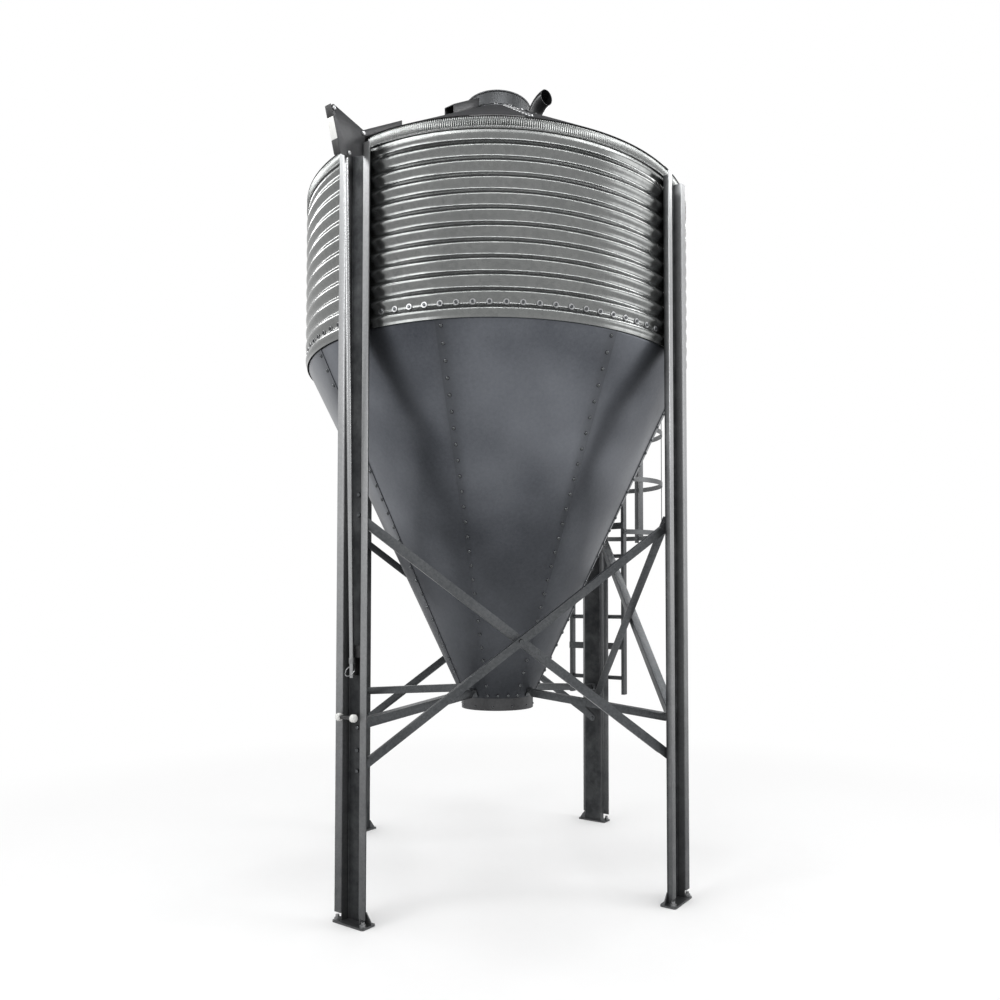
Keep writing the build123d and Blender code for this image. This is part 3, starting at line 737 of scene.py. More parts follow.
def make_eave(sizes, f):
    """Eave ring: a lapped band with fine crimps, a bead under it and a flange under the roof."""
    run = EAVE_FLANGE * math.cos(ROOF_SLOPE)
    rise = EAVE_FLANGE * math.sin(ROOF_SLOPE)
    inner = EAVE_FACE - 0.002
    face = EAVE_FACE + 0.0038
    points = [
        (inner, EAVE_LOW + 0.004), (inner, EAVE_LOW), (EAVE_FACE + 0.002, EAVE_LOW),
        (EAVE_FACE + 0.0034, EAVE_LOW + 0.0006), (EAVE_FACE + 0.004, EAVE_LOW + 0.002),
        (EAVE_FACE + 0.0034, EAVE_LOW + 0.0034), (EAVE_FACE + 0.002, EAVE_LOW + 0.004),
        (EAVE_FACE, EAVE_LOW + 0.006), (face - 0.001, EAVE_LOW + 0.009), (face, EAVE_LOW + 0.013),
        (face, EAVE_TOP - 0.012), (face - 0.001, EAVE_TOP - 0.006), (EAVE_FACE, EAVE_TOP - 0.001),
        (EAVE_FACE - run, EAVE_TOP + rise), (EAVE_FACE - run, EAVE_TOP + rise - 0.0024),
        (inner, EAVE_TOP - 0.0024),
    ]
    bm = spun_ring([(x, 0, z) for x, z in points], sizes.crimps * 4)
    for v in bm.verts:
        radius = math.hypot(v.co.x, v.co.y)
        if EAVE_LOW + 0.008 < v.co.z < EAVE_TOP - 0.004 and radius > EAVE_FACE + 0.001:
            wave = 0.5 - 0.5 * math.cos(math.atan2(v.co.y, v.co.x) * sizes.crimps)
            scale = 1.0 - sizes.crimp_depth * wave / EAVE_FACE
            v.co.x *= scale
            v.co.y *= scale
    recalc(bm)
    finish_piece("eave_ring_crimped", bm, wall_zinc(f), stands_for=("eave_ring",),
                 crease=60.0)


def make_roof(sizes, f):
    """Roof panels: sectors of the cone, every second one over its neighbours, with their bolts."""
    for label, lift, first in (("under", UNDER_LIFT, 0.0), ("over", OVER_LIFT, 45.0)):
        bm = bmesh.new()
        radii = [ROOF_HOLE + (ROOF_EDGE - ROOF_HOLE) * i / 8 for i in range(9)]
        for count in range(4):
            part = bmesh.new()
            outline(part, [roof_point(radius, lift + ROOF_SHEET) for radius in radii])
            spin_round(part, 270.0 - PANEL_LAP + first + count * 90.0, 45.0 + 2 * PANEL_LAP, 24)
            thicken(part, ROOF_SHEET, Vector((0, 0, 1)))
            join(bm, part)
        finish_piece("roof_panels_" + label + "_sheet", bm, roof_coat(f),
                     stands_for=("roof_panels_" + label,))
    low, high = [], []
    for seam in range(8):
        angle = turn(270.0 + seam * 45.0)
        for row in range(sizes.roof_bolts):
            radius = ROOF_BOLTS[0] + (ROOF_BOLTS[1] - ROOF_BOLTS[0]) * row / (sizes.roof_bolts - 1)
            for places, lift in ((low, 0.0), (high, WASHER_STEP)):
                spot = roof_point(radius, OVER_LIFT + ROOF_SHEET + lift)
                places.append(facing(angle @ spot, angle @ ROOF_NORMAL, row))
    finish_bolts("roof_washers", washer(ROOF_WASHER, WASHER_SHEET), low, bolt_zinc(f))
    finish_bolts("roof_bolts", bolt_head(sizes.bolt_head), high, bolt_zinc(f))


def make_neck(sizes, f):
    """Filler neck: flange on the roof, round wall and rolled rim, with bolts through the flange."""
    plate = NECK_LIFT + NECK_SHEET
    top = roof_point(NECK_RADIUS, NECK_LIFT).z + NECK_HEIGHT
    bore = NECK_RADIUS - NECK_SHEET
    rim = Vector((NECK_RADIUS + 0.0006, 0, top - 0.0045))
    points = [
        roof_point(bore, NECK_LIFT), roof_point(NECK_RADIUS + NECK_FLANGE, NECK_LIFT),
        roof_point(NECK_RADIUS + NECK_FLANGE, plate), roof_point(NECK_RADIUS + 0.004, plate),
        roof_point(NECK_RADIUS, plate) + Vector((0, 0, 0.003)), Vector((NECK_RADIUS, 0, top - 0.010)),
    ]
    points += [rim + 0.0045 * Vector((math.cos(a), 0, math.sin(a))) for a in (-1.2, -0.6, 0.0, 0.5, 1.0, 1.57)]
    points += [Vector((bore + 0.001, 0, top)), Vector((bore, 0, top - 0.001))]
    finish_piece("filler_neck_rolled", spun_ring(points, 96), neck_zinc(f),
                 stands_for=("filler_neck",))
    spot = roof_point(NECK_RADIUS + 0.017, plate)
    places = []
    for count in range(16):
        angle = 11.25 + count * 22.5
        if between(angle, OPENER_LEG) >= 12.0:
            places.append(facing(turn(angle) @ spot, turn(angle) @ ROOF_NORMAL, count))
    finish_bolts("neck_bolts", bolt_head(sizes.bolt_head), places, bolt_zinc(f))


def make_vent(sizes, f):
    """Vent elbow: a ring swept up and outward, with a flange and its screws."""
    base = roof_point(VENT_DISTANCE, OVER_LIFT)
    slant = Vector((math.cos(ROOF_SLOPE), 0, -math.sin(ROOF_SLOPE)))
    middle = base + ROOF_NORMAL * VENT_RISE + slant * VENT_BEND
    upright = Matrix.Translation(base) @ Matrix.Rotation(ROOF_SLOPE, 4, "Y")
    bm = bmesh.new()
    bmesh.ops.create_circle(bm, cap_ends=False, segments=36, radius=VENT_RADIUS, matrix=upright)
    ring = new_points(bmesh.ops.extrude_edge_only(bm, edges=bm.edges[:])["geom"])
    bmesh.ops.translate(bm, verts=ring, vec=ROOF_NORMAL * VENT_RISE)
    rim = ring + [e for e in bm.edges if all(v in ring for v in e.verts)]
    bmesh.ops.spin(
        bm, geom=rim, cent=middle, axis=(0, 1, 0), angle=math.radians(VENT_TURN), steps=14,
        use_merge=False, use_duplicate=False)
    recalc(bm)
    bmesh.ops.solidify(bm, geom=bm.faces[:], thickness=VENT_SHEET)
    recalc(bm)
    flange = bmesh.new()
    bmesh.ops.create_circle(flange, cap_ends=False, segments=36, radius=VENT_RADIUS - 0.001)
    outer = new_points(bmesh.ops.extrude_edge_only(flange, edges=flange.edges[:])["geom"])
    bmesh.ops.scale(flange, vec=(1.44, 1.44, 1.0), verts=outer)
    raised = new_points(bmesh.ops.extrude_face_region(flange, geom=flange.faces[:])["geom"])
    bmesh.ops.translate(flange, verts=raised, vec=(0, 0, VENT_SHEET))
    recalc(flange)
    join(bm, flange, upright)
    bmesh.ops.transform(bm, matrix=turn(VENT_ANGLE), verts=bm.verts[:])
    finish_piece("vent_elbow_bent", bm, vent_paint(f), stands_for=("vent_elbow",))
    places = []
    for count in range(6):
        angle = math.radians(30 + 60 * count)
        spot = upright @ Vector((0.046 * math.cos(angle), 0.046 * math.sin(angle), VENT_SHEET))
        places.append(facing(turn(VENT_ANGLE) @ spot, turn(VENT_ANGLE) @ ROOF_NORMAL))
    finish_bolts("vent_screws", bolt_head(0.0045), places, bolt_zinc(f))


def make_roof_channels(sizes, f):
    """The two channels of the lid opener that lie on the roof."""
    softened("lid_channels_folded", ("roof_channel", "neck_channel"), dark_plate(f),
             sizes.edge_round)


# Hopper


def make_hopper(sizes, f):
    """Hopper panels: sectors of the cone, a little flatter than it, every second one outside."""
    steps, rows = 24, 18
    panels = {"front": 270.0, "front_right": 315.0, "right": 0.0, "back_right": 45.0,
              "back": 90.0, "back_left": 135.0, "left": 180.0, "front_left": 225.0}
    for side, middle in panels.items():
        inset = HOPPER_LAP if middle % 90.0 else 0.0
        bm = bmesh.new()
        shade_weight = bm.verts.layers.float.new("channel")
        heights = [HOPPER_LOW + (HOPPER_TOP - HOPPER_BEND - HOPPER_LOW) * i / rows for i in range(rows + 1)]
        points = [(hopper_radius(z, inset), 0, z) for z in heights]
        top_radius = HOPPER_TOP_RADIUS - inset
        points += [(top_radius - 0.0003, 0, HOPPER_TOP), (top_radius, 0, HOPPER_TOP + HOPPER_BEND),
                   (top_radius, 0, HOPPER_FLANGE_TOP)]
        outline(bm, points)
        spin_round(bm, middle - 22.5 - PANEL_LAP, 45.0 + 2 * PANEL_LAP, steps)
        for v in bm.verts:
            angle = math.atan2(v.co.y, v.co.x) - math.radians(middle)
            angle = (angle + math.pi) % math.tau - math.pi
            across = min(1.0, abs(angle) / math.radians(22.5))
            # Painted shade: the weight rises sharply towards each seam, so the panel is darkened beside it.
            v[shade_weight] = across ** 8
            if v.co.z < HOPPER_TOP - 0.001:
                fade = min(1.0, (HOPPER_TOP - v.co.z) / 0.30)
                radius = math.hypot(v.co.x, v.co.y)
                fade *= min(1.0, radius / 0.6)
                scale = 1.0 - sizes.panel_flatness * (1.0 - across ** 2) * fade / radius
                v.co.x *= scale
                v.co.y *= scale
        thicken(bm, HOPPER_SHEET)
        finish_piece("hopper_panel_sheet_" + side, bm, hopper_coat(f),
                     stands_for=("hopper_panel_" + side,), crease=25.0)


def make_hopper_bolts(sizes, f):
    """Bolts down the hopper's seams, and a row through the collar's skirt."""
    tilt = math.pi / 2 - HOPPER_ANGLE
    normal = Vector((math.cos(tilt), 0, -math.sin(tilt)))
    places = []
    for seam in range(8):
        angle = turn(22.5 + 45.0 * seam)
        for row in range(sizes.seam_bolts):
            z = SEAM_BOLTS[0] + (SEAM_BOLTS[1] - SEAM_BOLTS[0]) * row / (sizes.seam_bolts - 1)
            places.append(facing(angle @ Vector((hopper_radius(z), 0, z)), angle @ normal, row))
    spot = Vector((hopper_radius(SKIRT_BOLTS), 0, SKIRT_BOLTS))
    for count in range(24):
        angle = 7.5 + 15.0 * count
        if clear_of_legs(angle, 9.0):
            places.append(facing(turn(angle) @ spot, turn(angle) @ normal, count))
    finish_bolts("hopper_bolts", dome_head(sizes.bolt_head), places, dark_bolt(f), domed=True)


def make_collar(sizes, f):
    """Outlet collar: a round wall with a rolled lower edge, seated inside the hopper's mouth."""
    bore = COLLAR_RADIUS - COLLAR_SHEET
    skirt = hopper_radius(0.886, 0.0066)
    points = [
        (bore, COLLAR_LOW), (COLLAR_RADIUS - 0.0008, COLLAR_LOW), (COLLAR_RADIUS, COLLAR_LOW + 0.001),
        (COLLAR_RADIUS, 0.859), (skirt, 0.8855), (skirt - 0.0032, 0.886), (bore, 0.860),
    ]
    finish_piece("outlet_collar_rolled", spun_ring([(x, 0, z) for x, z in points], 96), dark_plate(f),
                 stands_for=("outlet_collar",))
    places = []
    for count in range(12):
        out = outward(15.0 + 30.0 * count)
        places.append(facing(out * COLLAR_RADIUS + Vector((0, 0, RIVETS)), out, count))
    finish_bolts("collar_rivets", dome_head(0.0055), places, dark_bolt(f), domed=True)


# Legs


def make_legs(sizes, f):
    """Legs: a folded hat section drawn up from the foot, with its lips cut away over the anchor bolts."""
    behind = LEG_DEPTH - LEG_SHEET
    wide = LEG_HALF + LEG_LIP
    for side, angle in LEGS.items():
        bm = bmesh.new()
        shade_weight = bm.verts.layers.float.new("channel")
        verts, _ = outline(bm, [
            (behind, -wide, NOTCH_TOP), (behind, -LEG_HALF, NOTCH_TOP), (0, -LEG_HALF, NOTCH_TOP),
            (0, LEG_HALF, NOTCH_TOP), (behind, LEG_HALF, NOTCH_TOP), (behind, wide, NOTCH_TOP),
        ])
        bmesh.ops.bevel(
            bm, geom=[verts[2], verts[3]], offset=0.007, segments=5, profile=0.5, affect="VERTICES", material=-1)
        tight = [v for v in bm.verts if abs(v.co.x - behind) < 1e-6 and abs(abs(v.co.y) - LEG_HALF) < 1e-6]
        bmesh.ops.bevel(bm, geom=tight, offset=0.003, segments=3, profile=0.5, affect="VERTICES", material=-1)
        line = bm.edges[:]
        inner = [e for e in line if all(abs(v.co.y) < LEG_HALF + 0.0001 for v in e.verts)]
        up = new_points(bmesh.ops.extrude_edge_only(bm, edges=line)["geom"])
        bmesh.ops.translate(bm, verts=up, vec=(0, 0, LEG_TOP - NOTCH_TOP))
        down = new_points(bmesh.ops.extrude_edge_only(bm, edges=inner)["geom"])
        bmesh.ops.translate(bm, verts=down, vec=(0, 0, FOOT_TOP - NOTCH_TOP))
        for v in bm.verts:
            # Painted shade: the web and the flanges near it get a high weight and are darkened, the lips stay
            # light.
            v[shade_weight] = 1.0 - min(1.0, max(0.0, v.co.x / behind)) ** 2
        bmesh.ops.translate(bm, verts=bm.verts[:], vec=(LEG_WEB, 0, 0))
        thicken(bm, LEG_SHEET, Vector((-1, 0, 0)))
        bmesh.ops.transform(bm, matrix=turn(angle), verts=bm.verts[:])
        finish_piece("leg_folded_" + side, bm, dipped_steel(f), stands_for=("leg_" + side,),
                     crease=30.0)


def make_feet(sizes, f):
    """Foot plates with their gussets, and the anchor bolts with plate washers and nuts."""
    softened("leg_feet_welded", ("leg_feet",), dipped_steel(f), 0.001)
    bm = bmesh.new()
    for angle in LEGS.values():
        for hand in (-1, 1):
            place = turn(angle) @ move(LEG_WEB + ANCHOR_OUT, hand * ANCHOR_SIDE, FOOT_TOP)
            add_rod(bm, (0, 0, 0.0), (0, 0, 0.0026), 0.0148, segments=24, width=0.0006, place=place)
            join(bm, bolt_head(0.0135), place @ move(0, 0, 0.0026))
            add_rod(bm, (0, 0, 0.004), (0, 0, 0.022), 0.008, segments=16, width=0.0012, place=place)
    finish_piece("anchor_bolts", bm, bolt_zinc(f), crease=30.0)


def make_braces(sizes, f):
    """Cross braces of angle bar, with their bent ends."""
    for side in ("front", "right", "back", "left"):
        for kind in ("rising", "falling"):
            node = "brace_" + kind + "_" + side
            softened(node + "_bar", (node,), brace_steel(f), 0.0008)


def make_struts(sizes, f):
    """Struts from the legs to the foot of the hopper."""
    softened("hopper_struts_bar", ("hopper_struts",), brace_steel(f), 0.0008)


def make_frame_bolts(sizes, f):
    """Bolts of the braces and struts: on each leg's web and at the crossings."""
    places = []
    for angle in LEGS.values():
        out = outward(angle)
        for z in WEB_BOLTS:
            places.append(facing(out * (LEG_WEB + LEG_SHEET) + Vector((0, 0, z)), out, z))
            places.append(facing(out * WEB_BACK + Vector((0, 0, z)), -out, z))
    for side, lift in ((270.0, 0.0), (0.0, SIDE_STEP), (90.0, 0.0), (180.0, SIDE_STEP)):
        out = outward(side)
        places.append(facing(out * CROSSING[0] + Vector((0, 0, CROSSING[1] + lift)), out))
    finish_bolts("frame_bolts", bolt_head(0.0100), places, dark_bolt(f))


# Ladder and cage


def make_ladder(sizes, f):
    """Ladder: two rails with capped tops, round rungs and the flat bars that hold it to the leg."""
    place = turn(LADDER_LEG)
    bm = bmesh.new()
    for side in (-LADDER_HALF, LADDER_HALF):
        add_bar(bm, (RAIL_IN, side - RAIL_WIDTH / 2, RAIL_LOW), (RAIL_OUT, side + RAIL_WIDTH / 2, RAIL_TOP),
                width=0.002, place=place)
    finish_piece("ladder_rails_tube", bm, ladder_steel(f), stands_for=("ladder_rails",))
    bm = bmesh.new()
    middle = (RAIL_IN + RAIL_OUT) / 2
    reach = LADDER_HALF - RAIL_WIDTH / 2
    for row in range(RUNG_ROWS):
        z = RUNG_FIRST + row * RUNG_PITCH
        add_rod(bm, (middle, -reach, z), (middle, reach, z), RUNG_RADIUS, place=place)
    finish_piece("ladder_rungs_tube", bm, ladder_steel(f), stands_for=("ladder_rungs",))
    softened("ladder_bars_flat", ("ladder_crossbars",), ladder_steel(f), 0.0008)
    places = []
    for z in BARS:
        for side in (-BAR_BOLTS, BAR_BOLTS):
            spot = place @ Vector((RAIL_IN - 0.0003, side, z + BAR_HEIGHT / 2))
            places.append(facing(spot, outward(LADDER_LEG)))
    finish_bolts("ladder_bolts", bolt_head(sizes.bolt_head), places, bolt_zinc(f))


def make_cage(sizes, f):
    """Safety cage: flat hoops spun round its middle, straps inside them and bolts at each crossing."""
    place = turn(LADDER_LEG)
    bm = bmesh.new()
    sweep = math.tau - 2 * math.asin(TAB_SIDE / HOOP_RADIUS)
    for row in range(HOOP_ROWS):
        part = bmesh.new()
        edge = Vector((-HOOP_REACH, -TAB_SIDE, 0))
        corner = outline(part, [edge + Vector((-HOOP_TAB, 0, 0)), edge])[0][1]
        bmesh.ops.spin(
            part, geom=[corner], cent=(0, 0, 0), axis=(0, 0, 1), angle=sweep, steps=56,
            use_merge=False, use_duplicate=False)
        end = [v for v in part.verts if len(v.link_edges) == 1 and v.co.y > 0]
        grown = bmesh.ops.extrude_vert_indiv(part, verts=end)["verts"]
        bmesh.ops.translate(part, verts=grown, vec=(-HOOP_TAB, 0, 0))
        up = new_points(bmesh.ops.extrude_edge_only(part, edges=part.edges[:])["geom"])
        bmesh.ops.translate(part, verts=up, vec=(0, 0, HOOP_BAND))
        thicken(part, HOOP_SHEET)
        join(bm, part, move(0, 0, HOOP_FIRST + row * HOOP_PITCH - HOOP_BAND / 2))
    bmesh.ops.transform(bm, matrix=place @ move(CAGE_MIDDLE, 0, 0), verts=bm.verts[:])
    finish_piece("cage_hoops_flat", bm, ladder_steel(f), stands_for=("cage_hoops",))
    softened("cage_straps_flat", ("cage_straps",), ladder_steel(f), 0.0005)
    places = []
    for row in range(HOOP_ROWS):
        middle = Vector((CAGE_MIDDLE, 0, HOOP_FIRST + row * HOOP_PITCH))
        for angle in STRAPS:
            out = outward(angle)
            places.append(facing(place @ (middle + out * (HOOP_RADIUS - 0.0076)), place @ -out))
        for hand in (-1, 1):
            for back in (0.014, 0.030):
                spot = middle + Vector((-HOOP_REACH - back, hand * (TAB_SIDE - 0.0002), 0))
                places.append(facing(place @ spot, place @ Vector((0, hand, 0))))
    finish_bolts("cage_bolts", dome_head(0.0065), places, dark_bolt(f), domed=True)


# Lid opener


def make_opener(sizes, f):
    """Bracket of the lid opener: a cut plate with a folded edge, its edging strip and bolts."""
    place = turn(OPENER_LEG)
    bm = bmesh.new()
    corners = [OPENER_ROOT, OPENER_TOP, OPENER_LOW, OPENER_TOE, OPENER_LAP]
    verts, _ = outline(bm, [(r, OPENER_SIDE, z) for r, z in corners], closed=True)
    bmesh.ops.contextual_create(bm, geom=bm.edges[:])
    bmesh.ops.bevel(bm, geom=[verts[1]], offset=0.016, segments=6, profile=0.5, affect="VERTICES", material=-1)
    side = new_points(bmesh.ops.extrude_face_region(bm, geom=bm.faces[:])["geom"])
    bmesh.ops.translate(bm, verts=side, vec=(0, -OPENER_SHEET, 0))
    recalc(bm)
    top, low = Vector((OPENER_TOP[0], 0, OPENER_TOP[1])), Vector((OPENER_LOW[0], 0, OPENER_LOW[1]))
    along = (low - top).normalized()
    reach = (low - top).length
    fold = Matrix.Translation(top) @ Matrix((
        (along.x, 0, -along.z, 0), (0, 1, 0, 0), (along.z, 0, along.x, 0), (0, 0, 0, 1)))
    add_bar(bm, (0.010, OPENER_SIDE - OPENER_FOLD, 0), (reach, OPENER_SIDE, OPENER_SHEET), width=0.0008,
            place=fold)
    round_edges(bm, 0.0006, limit=50.0)
    bmesh.ops.transform(bm, matrix=place, verts=bm.verts[:])
    finish_piece("opener_bracket_plate", bm, dark_plate(f), stands_for=("opener_bracket",))
    low_side, high_side = OPENER_SIDE - OPENER_FOLD - 0.001, OPENER_SIDE - 0.0006
    face, proud = OPENER_SHEET + 0.0002, OPENER_SHEET + 0.0032
    for colour, finish, strips in (
            ("black", black_plastic(f), ((0.006, 0.052), (0.138, reach - 0.004))),
            ("white", white_plastic(f), ((0.053, 0.137),))):
        bm = bmesh.new()
        for start, end in strips:
            add_bar(bm, (start, low_side, face), (end, high_side, proud), width=0.001, place=place @ fold)
        finish_piece("opener_edging_" + colour, bm, finish)
    spots = [place @ Vector((r, OPENER_SIDE, z)) for r, z in ((1.184, 3.348), (1.021, 3.322), (1.100, 3.200))]
    places = [facing(spot, place @ Vector((0, 1, 0))) for spot in spots]
    finish_bolts("opener_bolts", bolt_head(0.0095), places, bolt_zinc(f))


def make_catch(sizes, f):
    """Pull rod with its end sleeve and ring, the clip with its strap, and the rope cleat."""
    place = turn(OPENER_LEG)
    low = Vector(ROD_LOW)
    along = (Vector(ROD_TOP) - low).normalized()
    web = LEG_WEB + LEG_SHEET
    softened("pull_rod_round", ("pull_rod",), bolt_zinc(f), 0.0)
    softened("rod_clip_moulded", ("rod_clip",), black_plastic(f), 0.001)
    softened("rope_cleat_moulded", ("rope_cleat",), black_plastic(f), 0.001)
    bm = bmesh.new()
    add_rod(bm, low + along * 0.0586, low + along * 0.0835, 0.0125, segments=24, width=0.001, place=place)
    finish_piece("rod_sleeve", bm, dipped_steel(f))
    bm = bmesh.new()
    tilt = Matrix.Rotation(math.radians(90 - 35), 4, "Y")
    add_ring(bm, 0.0245, 0.0018, place @ move(low.x, -0.0155, 1.0484) @ tilt)
    finish_piece("rod_ring", bm, bolt_zinc(f))
    bm = bmesh.new()
    add_bar(bm, (web + 0.0002, -0.009, 1.030), (web + 0.018, 0.003, 1.1058), width=0.0008, place=place)
    finish_piece("clip_strap", bm, black_plastic(f))
    bm = bmesh.new()
    for side in (-0.040, 0.045):
        spot = Vector(CLEAT) + Vector((0, side, 0))
        reach = Vector((0, 0.011, 0))
        add_rod(bm, spot - reach, spot + reach, 0.0165, segments=20, width=0.005, place=place)
    finish_piece("cleat_caps", bm, white_plastic(f))


# Stage


def seen_rays(tree):
    """Marks the rays by which the background is seen, straight or in gloss and glass."""
    rays = add_node(tree, "LightPath").outputs
    seen = add_math(tree, "MAXIMUM", rays["Is Camera Ray"], rays["Is Glossy Ray"])
    return add_math(tree, "MAXIMUM", seen, rays["Is Transmission Ray"])


def rising(tree, value, start, end):
    """Rises smoothly from 0 to 1 between two values."""
    values = {"Value": value, "From Min": start, "From Max": end}
    return add_node(tree, "MapRange", values, interpolation_type="SMOOTHSTEP").outputs[0]


def make_floor(stage):
    """A wide pale floor that takes the silo's shadow and turns into the white background further off."""
    bm = bmesh.new()
    bmesh.ops.create_grid(bm, x_segments=1, y_segments=1, size=60.0)
    mesh = bpy.data.meshes.new("floor")
    bm.to_mesh(mesh)
    bm.free()
    floor = bpy.data.objects.new("floor", mesh)
    bpy.context.scene.collection.objects.link(floor)
    material, tree, shader, place = new_material("pale floor")
    darker = opaque([c * 0.985 for c in stage.floor])
    speck = add_noise(tree, place, 14.0, 4.0, 0.6)
    set_inputs(tree, shader, {
        "Base Color": add_mix(tree, speck, darker, opaque(stage.floor)), "Roughness": 0.9,
        "Specular IOR Level": 0.1})
    white = add_node(tree, "Emission", {"Strength": 1.0})
    reach = add_node(tree, "VectorMath", {0: place}, operation="LENGTH").outputs["Value"]
    shown = add_math(tree, "MULTIPLY", rising(tree, reach, WHITE_FROM, WHITE_TO), seen_rays(tree))
    blend = add_node(tree, "MixShader", {0: shown, 1: shader.outputs[0], 2: white.outputs[0]})
    set_inputs(tree, tree.nodes["Material Output"], {"Surface": blend.outputs[0]})
    mesh.materials.append(material)


def make_world(stage):
    """Plain light from all round. The camera sees white, and gloss sees white under a darker ceiling."""
    world = bpy.data.worlds.new("plain sky")
    bpy.context.scene.world = world
    world.use_nodes = True
    tree = world.node_tree
    height = add_node(tree, "SeparateXYZ", {0: add_node(tree, "TexCoord").outputs["Generated"]}).outputs["Z"]
    not_camera = add_math(tree, "SUBTRACT", 1.0, add_node(tree, "LightPath").outputs["Is Camera Ray"])
    ceiling = add_math(tree, "MULTIPLY", rising(tree, height, CEILING_FROM, CEILING_TO), not_camera)
    shown = add_mix(tree, ceiling, (1, 1, 1, 1), (0.06, 0.063, 0.066, 1))
    plain = (stage.sky, stage.sky, stage.sky, 1)
    set_inputs(tree, tree.nodes["Background"], {
        "Color": add_mix(tree, seen_rays(tree), plain, shown), "Strength": 1.0})


def make_lamp(name, power, size, place, aim):
    """One soft rectangular lamp, which the camera doesn't see."""
    lamp = bpy.data.lights.new(name, "AREA")
    lamp.energy = power
    lamp.shape = "RECTANGLE"
    lamp.size, lamp.size_y = size
    holder = bpy.data.objects.new(name, lamp)
    holder.location = place
    holder.rotation_euler = (Vector(aim) - Vector(place)).to_track_quat("-Z", "Y").to_euler()
    holder.visible_camera = False
    bpy.context.scene.collection.objects.link(holder)


def make_lamps(stage):
    """Four long lamps round the silo, a large soft one at the left and a smaller one at the right."""
    for count in range(4):
        spot = turn(90.0 * count) @ Vector((3.6, 0, 5.4))
        make_lamp("long lamp " + str(count + 1), stage.ring_power, (7.0, 0.45), spot, (0, 0, 2.2))
    make_lamp("key lamp", stage.key_power, (2.5, 2.5), (-5.0, -3.6, 4.6), (0, 0, 2.0))
    make_lamp("fill lamp", stage.fill_power, (2.5, 2.5), (5.2, -2.6, 3.0), (0, 0, 1.8))


def make_camera(stage):
    """Camera at the photograph's place."""
    camera = bpy.data.cameras.new("camera")
    holder = bpy.data.objects.new("camera", camera)
    bpy.context.scene.collection.objects.link(holder)
    camera.sensor_width = 36.0
    camera.lens = stage.lens
    camera.shift_x, camera.shift_y = CAMERA_SHIFT
    holder.location = CAMERA_PLACE
    flat = math.cos(CAMERA_PITCH)
    ahead = Vector((math.sin(CAMERA_YAW) * flat, math.cos(CAMERA_YAW) * flat, math.sin(CAMERA_PITCH)))
    holder.rotation_euler = ahead.to_track_quat("-Z", "Y").to_euler()
    bpy.context.scene.camera = holder


# Operators


class SiloPiece:
    """What the operators share."""

    bl_options = {"REGISTER", "UNDO"}

    def make(self, context, *makers):
        for maker in makers:
            maker(context.scene.silo_sizes, context.scene.silo_finishes)
        return {"FINISHED"}


class SILO_OT_wall(SiloPiece, bpy.types.Operator):
    """Corrugated wall sheets and the bolts in their lowest valley"""

    bl_idname = "silo.wall"
    bl_label = "Wall"

    def execute(self, context):
        return self.make(context, make_wall, make_wall_bolts)


class SILO_OT_eave(SiloPiece, bpy.types.Operator):
    """Crimped ring under the edge of the roof"""

    bl_idname = "silo.eave"
    bl_label = "Eave ring"

    def execute(self, context):
        return self.make(context, make_eave)


class SILO_OT_roof(SiloPiece, bpy.types.Operator):
    """Roof panels with their bolts and the lid opener's channels"""

    bl_idname = "silo.roof"
    bl_label = "Roof"

    def execute(self, context):
        return self.make(context, make_roof, make_roof_channels)


class SILO_OT_neck(SiloPiece, bpy.types.Operator):
    """Filler neck with its rolled rim and bolts"""

    bl_idname = "silo.neck"
    bl_label = "Filler neck"

    def execute(self, context):
        return self.make(context, make_neck)


class SILO_OT_vent(SiloPiece, bpy.types.Operator):
    """Vent elbow with its flange and screws"""

    bl_idname = "silo.vent"
    bl_label = "Vent elbow"

    def execute(self, context):
        return self.make(context, make_vent)


class SILO_OT_hopper(SiloPiece, bpy.types.Operator):
    """Hopper panels, their bolts and the outlet collar"""

    bl_idname = "silo.hopper"
    bl_label = "Hopper"

    def execute(self, context):
        return self.make(context, make_hopper, make_hopper_bolts, make_collar)


class SILO_OT_legs(SiloPiece, bpy.types.Operator):
    """Legs, feet and anchor bolts"""

    bl_idname = "silo.legs"
    bl_label = "Legs"

    def execute(self, context):
        return self.make(context, make_legs, make_feet)


class SILO_OT_braces(SiloPiece, bpy.types.Operator):
    """Cross braces, struts and their bolts"""

    bl_idname = "silo.braces"
    bl_label = "Braces"

    def execute(self, context):
        return self.make(context, make_braces, make_struts, make_frame_bolts)


class SILO_OT_ladder(SiloPiece, bpy.types.Operator):
    """Ladder with its bars and bolts"""

    bl_idname = "silo.ladder"
    bl_label = "Ladder"

    def execute(self, context):
        return self.make(context, make_ladder)


class SILO_OT_cage(SiloPiece, bpy.types.Operator):
    """Safety cage round the ladder"""

    bl_idname = "silo.cage"
    bl_label = "Safety cage"

    def execute(self, context):
        return self.make(context, make_cage)


class SILO_OT_opener(SiloPiece, bpy.types.Operator):
    """Lid opener's bracket, rod, clip and cleat"""

    bl_idname = "silo.opener"
    bl_label = "Lid opener"

    def execute(self, context):
        return self.make(context, make_opener, make_catch)


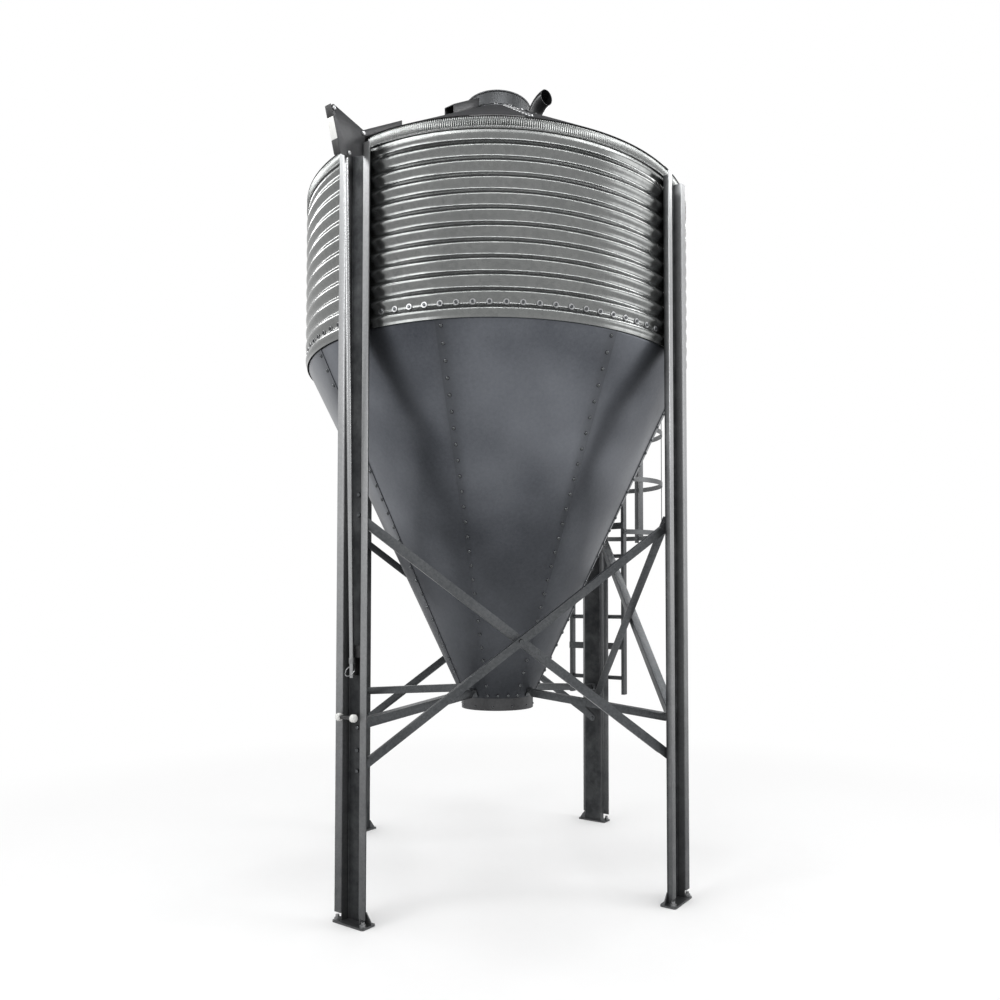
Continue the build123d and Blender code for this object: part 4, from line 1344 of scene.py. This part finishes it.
class SILO_OT_stage(SiloPiece, bpy.types.Operator):
    """Floor, plain light and camera"""

    bl_idname = "silo.stage"
    bl_label = "Stage"

    def execute(self, context):
        context.scene.view_settings.view_transform = "Standard"
        for maker in (make_floor, make_world, make_lamps, make_camera):
            maker(context.scene.silo_stage)
        return {"FINISHED"}


PIECES = (
    SILO_OT_wall, SILO_OT_eave, SILO_OT_roof, SILO_OT_neck, SILO_OT_vent, SILO_OT_hopper, SILO_OT_legs,
    SILO_OT_braces, SILO_OT_ladder, SILO_OT_cage, SILO_OT_opener, SILO_OT_stage,
)


class SILO_PT_pieces(bpy.types.Panel):
    """Lists the silo's pieces with their sizes and colours"""

    bl_idname = "SILO_PT_pieces"
    bl_label = "Feed Silo"
    bl_space_type = "VIEW_3D"
    bl_region_type = "UI"
    bl_category = "Feed Silo"

    def draw(self, context):
        column = self.layout.column(align=True)
        for piece in PIECES:
            column.operator(piece.bl_idname)
        for group in (context.scene.silo_sizes, context.scene.silo_finishes, context.scene.silo_stage):
            column = self.layout.column()
            for name in group.__annotations__:
                column.prop(group, name)


CLASSES = (SiloSizes, SiloFinishes, SiloStage, *PIECES, SILO_PT_pieces)


def register():
    for cls in CLASSES:
        bpy.utils.register_class(cls)
    bpy.types.Scene.silo_sizes = PointerProperty(type=SiloSizes)
    bpy.types.Scene.silo_finishes = PointerProperty(type=SiloFinishes)
    bpy.types.Scene.silo_stage = PointerProperty(type=SiloStage)


def unregister():
    del bpy.types.Scene.silo_stage
    del bpy.types.Scene.silo_finishes
    del bpy.types.Scene.silo_sizes
    for cls in reversed(CLASSES):
        bpy.utils.unregister_class(cls)


def build():
    """Registers the add-on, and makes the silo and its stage."""
    register()
    bpy.ops.silo.wall()
    bpy.ops.silo.eave()
    bpy.ops.silo.roof()
    bpy.ops.silo.neck()
    bpy.ops.silo.vent()
    bpy.ops.silo.hopper()
    bpy.ops.silo.legs()
    bpy.ops.silo.braces()
    bpy.ops.silo.ladder()
    bpy.ops.silo.cage()
    bpy.ops.silo.opener()
    bpy.ops.silo.stage()


if __name__ == "__main__":
    build()
